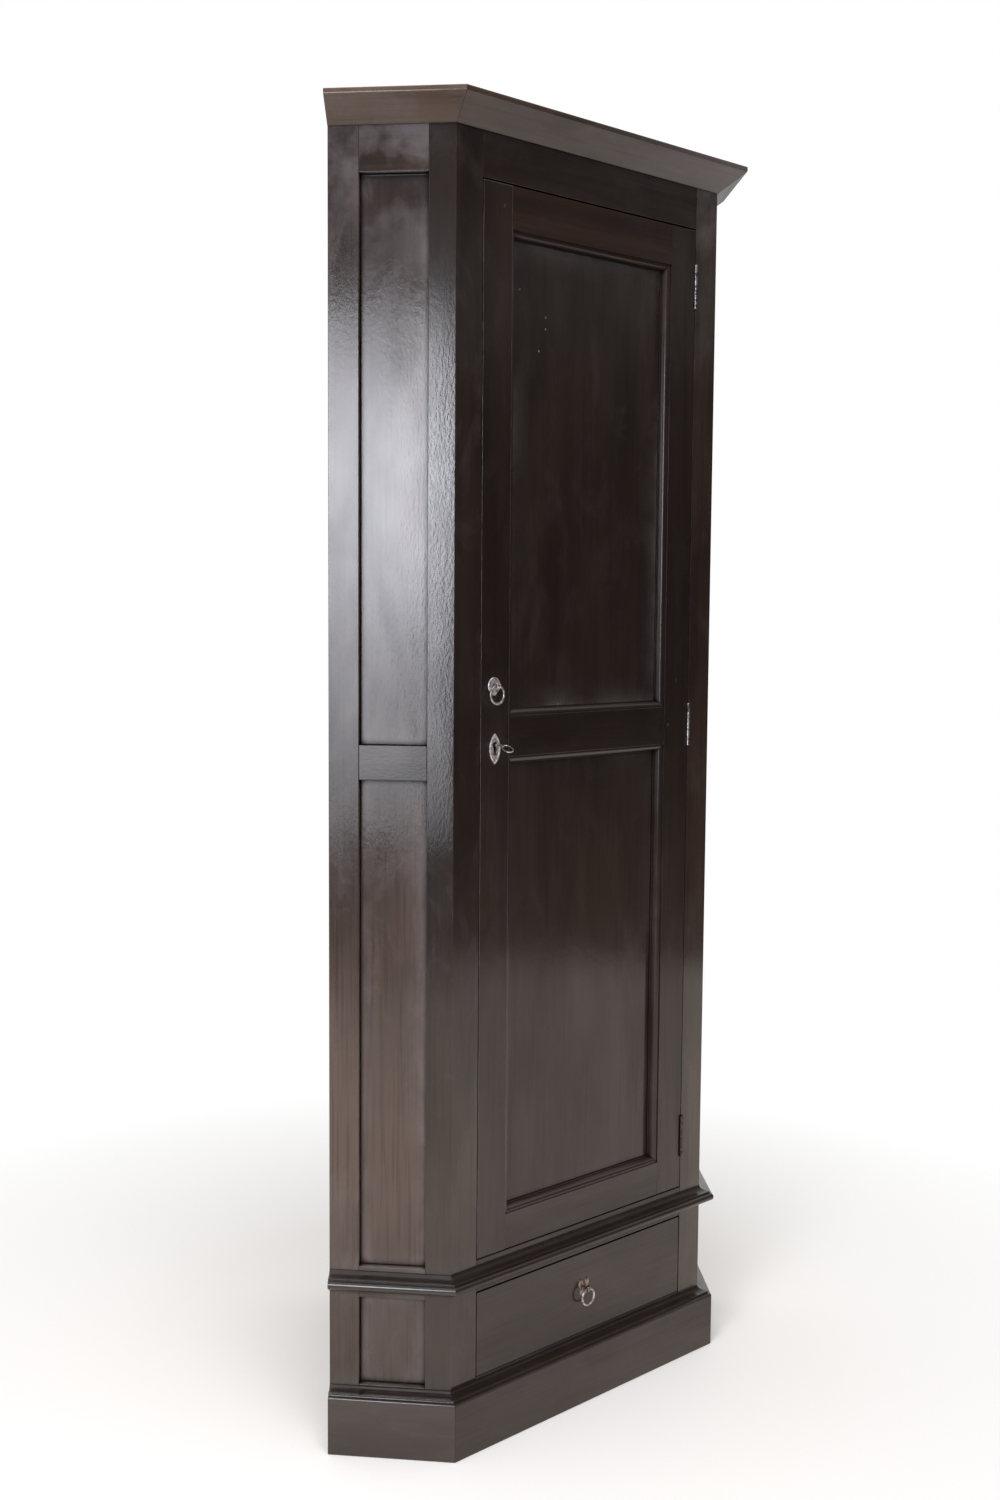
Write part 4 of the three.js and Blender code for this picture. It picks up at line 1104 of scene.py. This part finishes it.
def tinted(stops, tint=(1.0, 1.0, 1.0)):
    """Stops of place and strength, as stops of place and colour."""
    return [(place, scaled(tint, strength)) for place, strength in stops]


def floor():
    """A pale disc that fades to the white background away from the object."""
    bm = bmesh.new()
    bmesh.ops.create_circle(bm, cap_ends=True, radius=FLOOR_RADIUS, segments=96)
    mesh = bpy.data.meshes.new("floor")
    bm.to_mesh(mesh)
    bm.free()
    m = Mat("floor_paper")
    m.set(Roughness=0.9)
    coord = m.node("ShaderNodeTexCoord")
    length = m.node("ShaderNodeVectorMath", operation="LENGTH")
    m.link(coord.outputs["Object"], length.inputs[0])
    path = m.node("ShaderNodeLightPath")
    reflected = m.math("ADD", path.outputs["Is Glossy Ray"], path.outputs["Is Transmission Ray"])
    shown = m.math("MINIMUM", m.math("ADD", path.outputs["Is Camera Ray"], reflected), 1.0)
    seen = m.math("MULTIPLY", m.remap(length.outputs["Value"], *FLOOR_WHITE, 0.0, 1.0), shown)
    # In reflections the floor is warmer than seen directly, and so is its glow: a painted warm tint of its
    # reflection in the polish
    m.feed("Base Color", m.blend(reflected, (0.90, 0.90, 0.90), (0.88, 0.80, 0.74)))
    glow = m.node("ShaderNodeEmission")
    glow.inputs["Strength"].default_value = 1.0
    m.link(m.blend(path.outputs["Is Camera Ray"], (1.0, 0.90, 0.83), (1.0, 1.0, 1.0)), glow.inputs["Color"])
    m.link(m.mix_shaders(seen, m.shader.outputs[0], glow.outputs[0]), m.out.inputs[0])
    mesh.materials.append(m.mat)
    made = bpy.data.objects.new("floor", mesh)
    bpy.context.scene.collection.objects.link(made)


def world():
    """A white background, also in reflections from behind; for light a soft studio, bright overhead."""
    scene_world = bpy.data.worlds.new("studio")
    bpy.context.scene.world = scene_world
    scene_world.use_nodes = True
    w = Wiring(scene_world.node_tree)
    w.tree.nodes.clear()
    out = w.node("ShaderNodeOutputWorld")
    coord = w.node("ShaderNodeTexCoord")
    split = w.node("ShaderNodeSeparateXYZ")
    w.link(coord.outputs["Generated"], split.inputs[0])
    studio = w.node("ShaderNodeBackground")
    w.link(w.ramp(split.outputs[2], *tinted(STUDIO, STUDIO_TINT)), studio.inputs[0])
    white = w.node("ShaderNodeBackground")
    white.inputs[0].default_value = (1, 1, 1, 1)
    path = w.node("ShaderNodeLightPath")
    reflected = w.math("ADD", path.outputs["Is Glossy Ray"], path.outputs["Is Transmission Ray"], clamp=True)
    behind = w.remap(split.outputs[1], *BEHIND, 0.0, 1.0)
    backdrop = w.math("MULTIPLY", reflected, behind, clamp=True)
    shown = w.math("ADD", path.outputs["Is Camera Ray"], backdrop, clamp=True)
    w.link(w.mix_shaders(shown, studio.outputs[0], white.outputs[0]), out.inputs[0])


def area(name, place, target, size, power, colour, reflected=True):
    """A lamp at a place, turned to its target."""
    lamp = bpy.data.lights.new(name, "AREA")
    lamp.shape = "RECTANGLE"
    lamp.size, lamp.size_y = size
    lamp.energy = power
    lamp.color = colour
    made = bpy.data.objects.new(name, lamp)
    bpy.context.scene.collection.objects.link(made)
    made.location = place
    made.visible_glossy = reflected
    made.rotation_euler = (Vector(target) - Vector(place)).to_track_quat("-Z", "Y").to_euler()
    return lamp


def graded(lamp, stops):
    """Grades a lamp's glow from its lower edge to its upper one."""
    lamp.use_nodes = True
    w = Wiring(lamp.node_tree)
    here = w.node("ShaderNodeNewGeometry")
    split = w.node("ShaderNodeSeparateXYZ")
    w.link(here.outputs["Parametric"], split.inputs[0])
    w.link(w.ramp(split.outputs[1], *tinted(stops)), w.tree.nodes["Emission"].inputs["Strength"])


floor()
world()
window = area(
    "side_window", (-2.56, -1.26, 1.36), (-0.37, -0.15, 1.36),
    size=(0.66, 1.56), power=58, colour=(0.89, 0.915, 1.0))
graded(window, WINDOW_GLOW)
area(
    "overhead", (-1.3, -1.4, 3.4), (-0.5, -0.4, 0.5),
    size=(2.0, 1.6), power=70, colour=(1.0, 0.965, 0.94), reflected=False)

# Camera, solved from the photograph's edges

CAMERA = Vector((-1.88847, -2.045935, 1.28661))
YAW, PITCH, ROLL = math.radians(43.35), math.radians(-5.08), math.radians(0.42)
FOCAL_PIXELS = 1654.88
FRAME_HEIGHT = 1500
SENSOR = 36


def camera():
    ahead = Vector((math.sin(YAW) * math.cos(PITCH), math.cos(YAW) * math.cos(PITCH), math.sin(PITCH)))
    level = Vector((math.cos(YAW), -math.sin(YAW), 0))
    upward = level.cross(ahead)
    right = level * math.cos(ROLL) + upward * math.sin(ROLL)
    top = upward * math.cos(ROLL) - level * math.sin(ROLL)
    data = bpy.data.cameras.new("camera")
    data.sensor_width = SENSOR
    data.lens = FOCAL_PIXELS / FRAME_HEIGHT * SENSOR
    made = bpy.data.objects.new("camera", data)
    bpy.context.scene.collection.objects.link(made)
    turn = Matrix((right, top, -ahead)).transposed().to_4x4()
    made.matrix_world = Matrix.Translation(CAMERA) @ turn
    bpy.context.scene.camera = made


camera()
bpy.context.scene.view_settings.view_transform = "Standard"
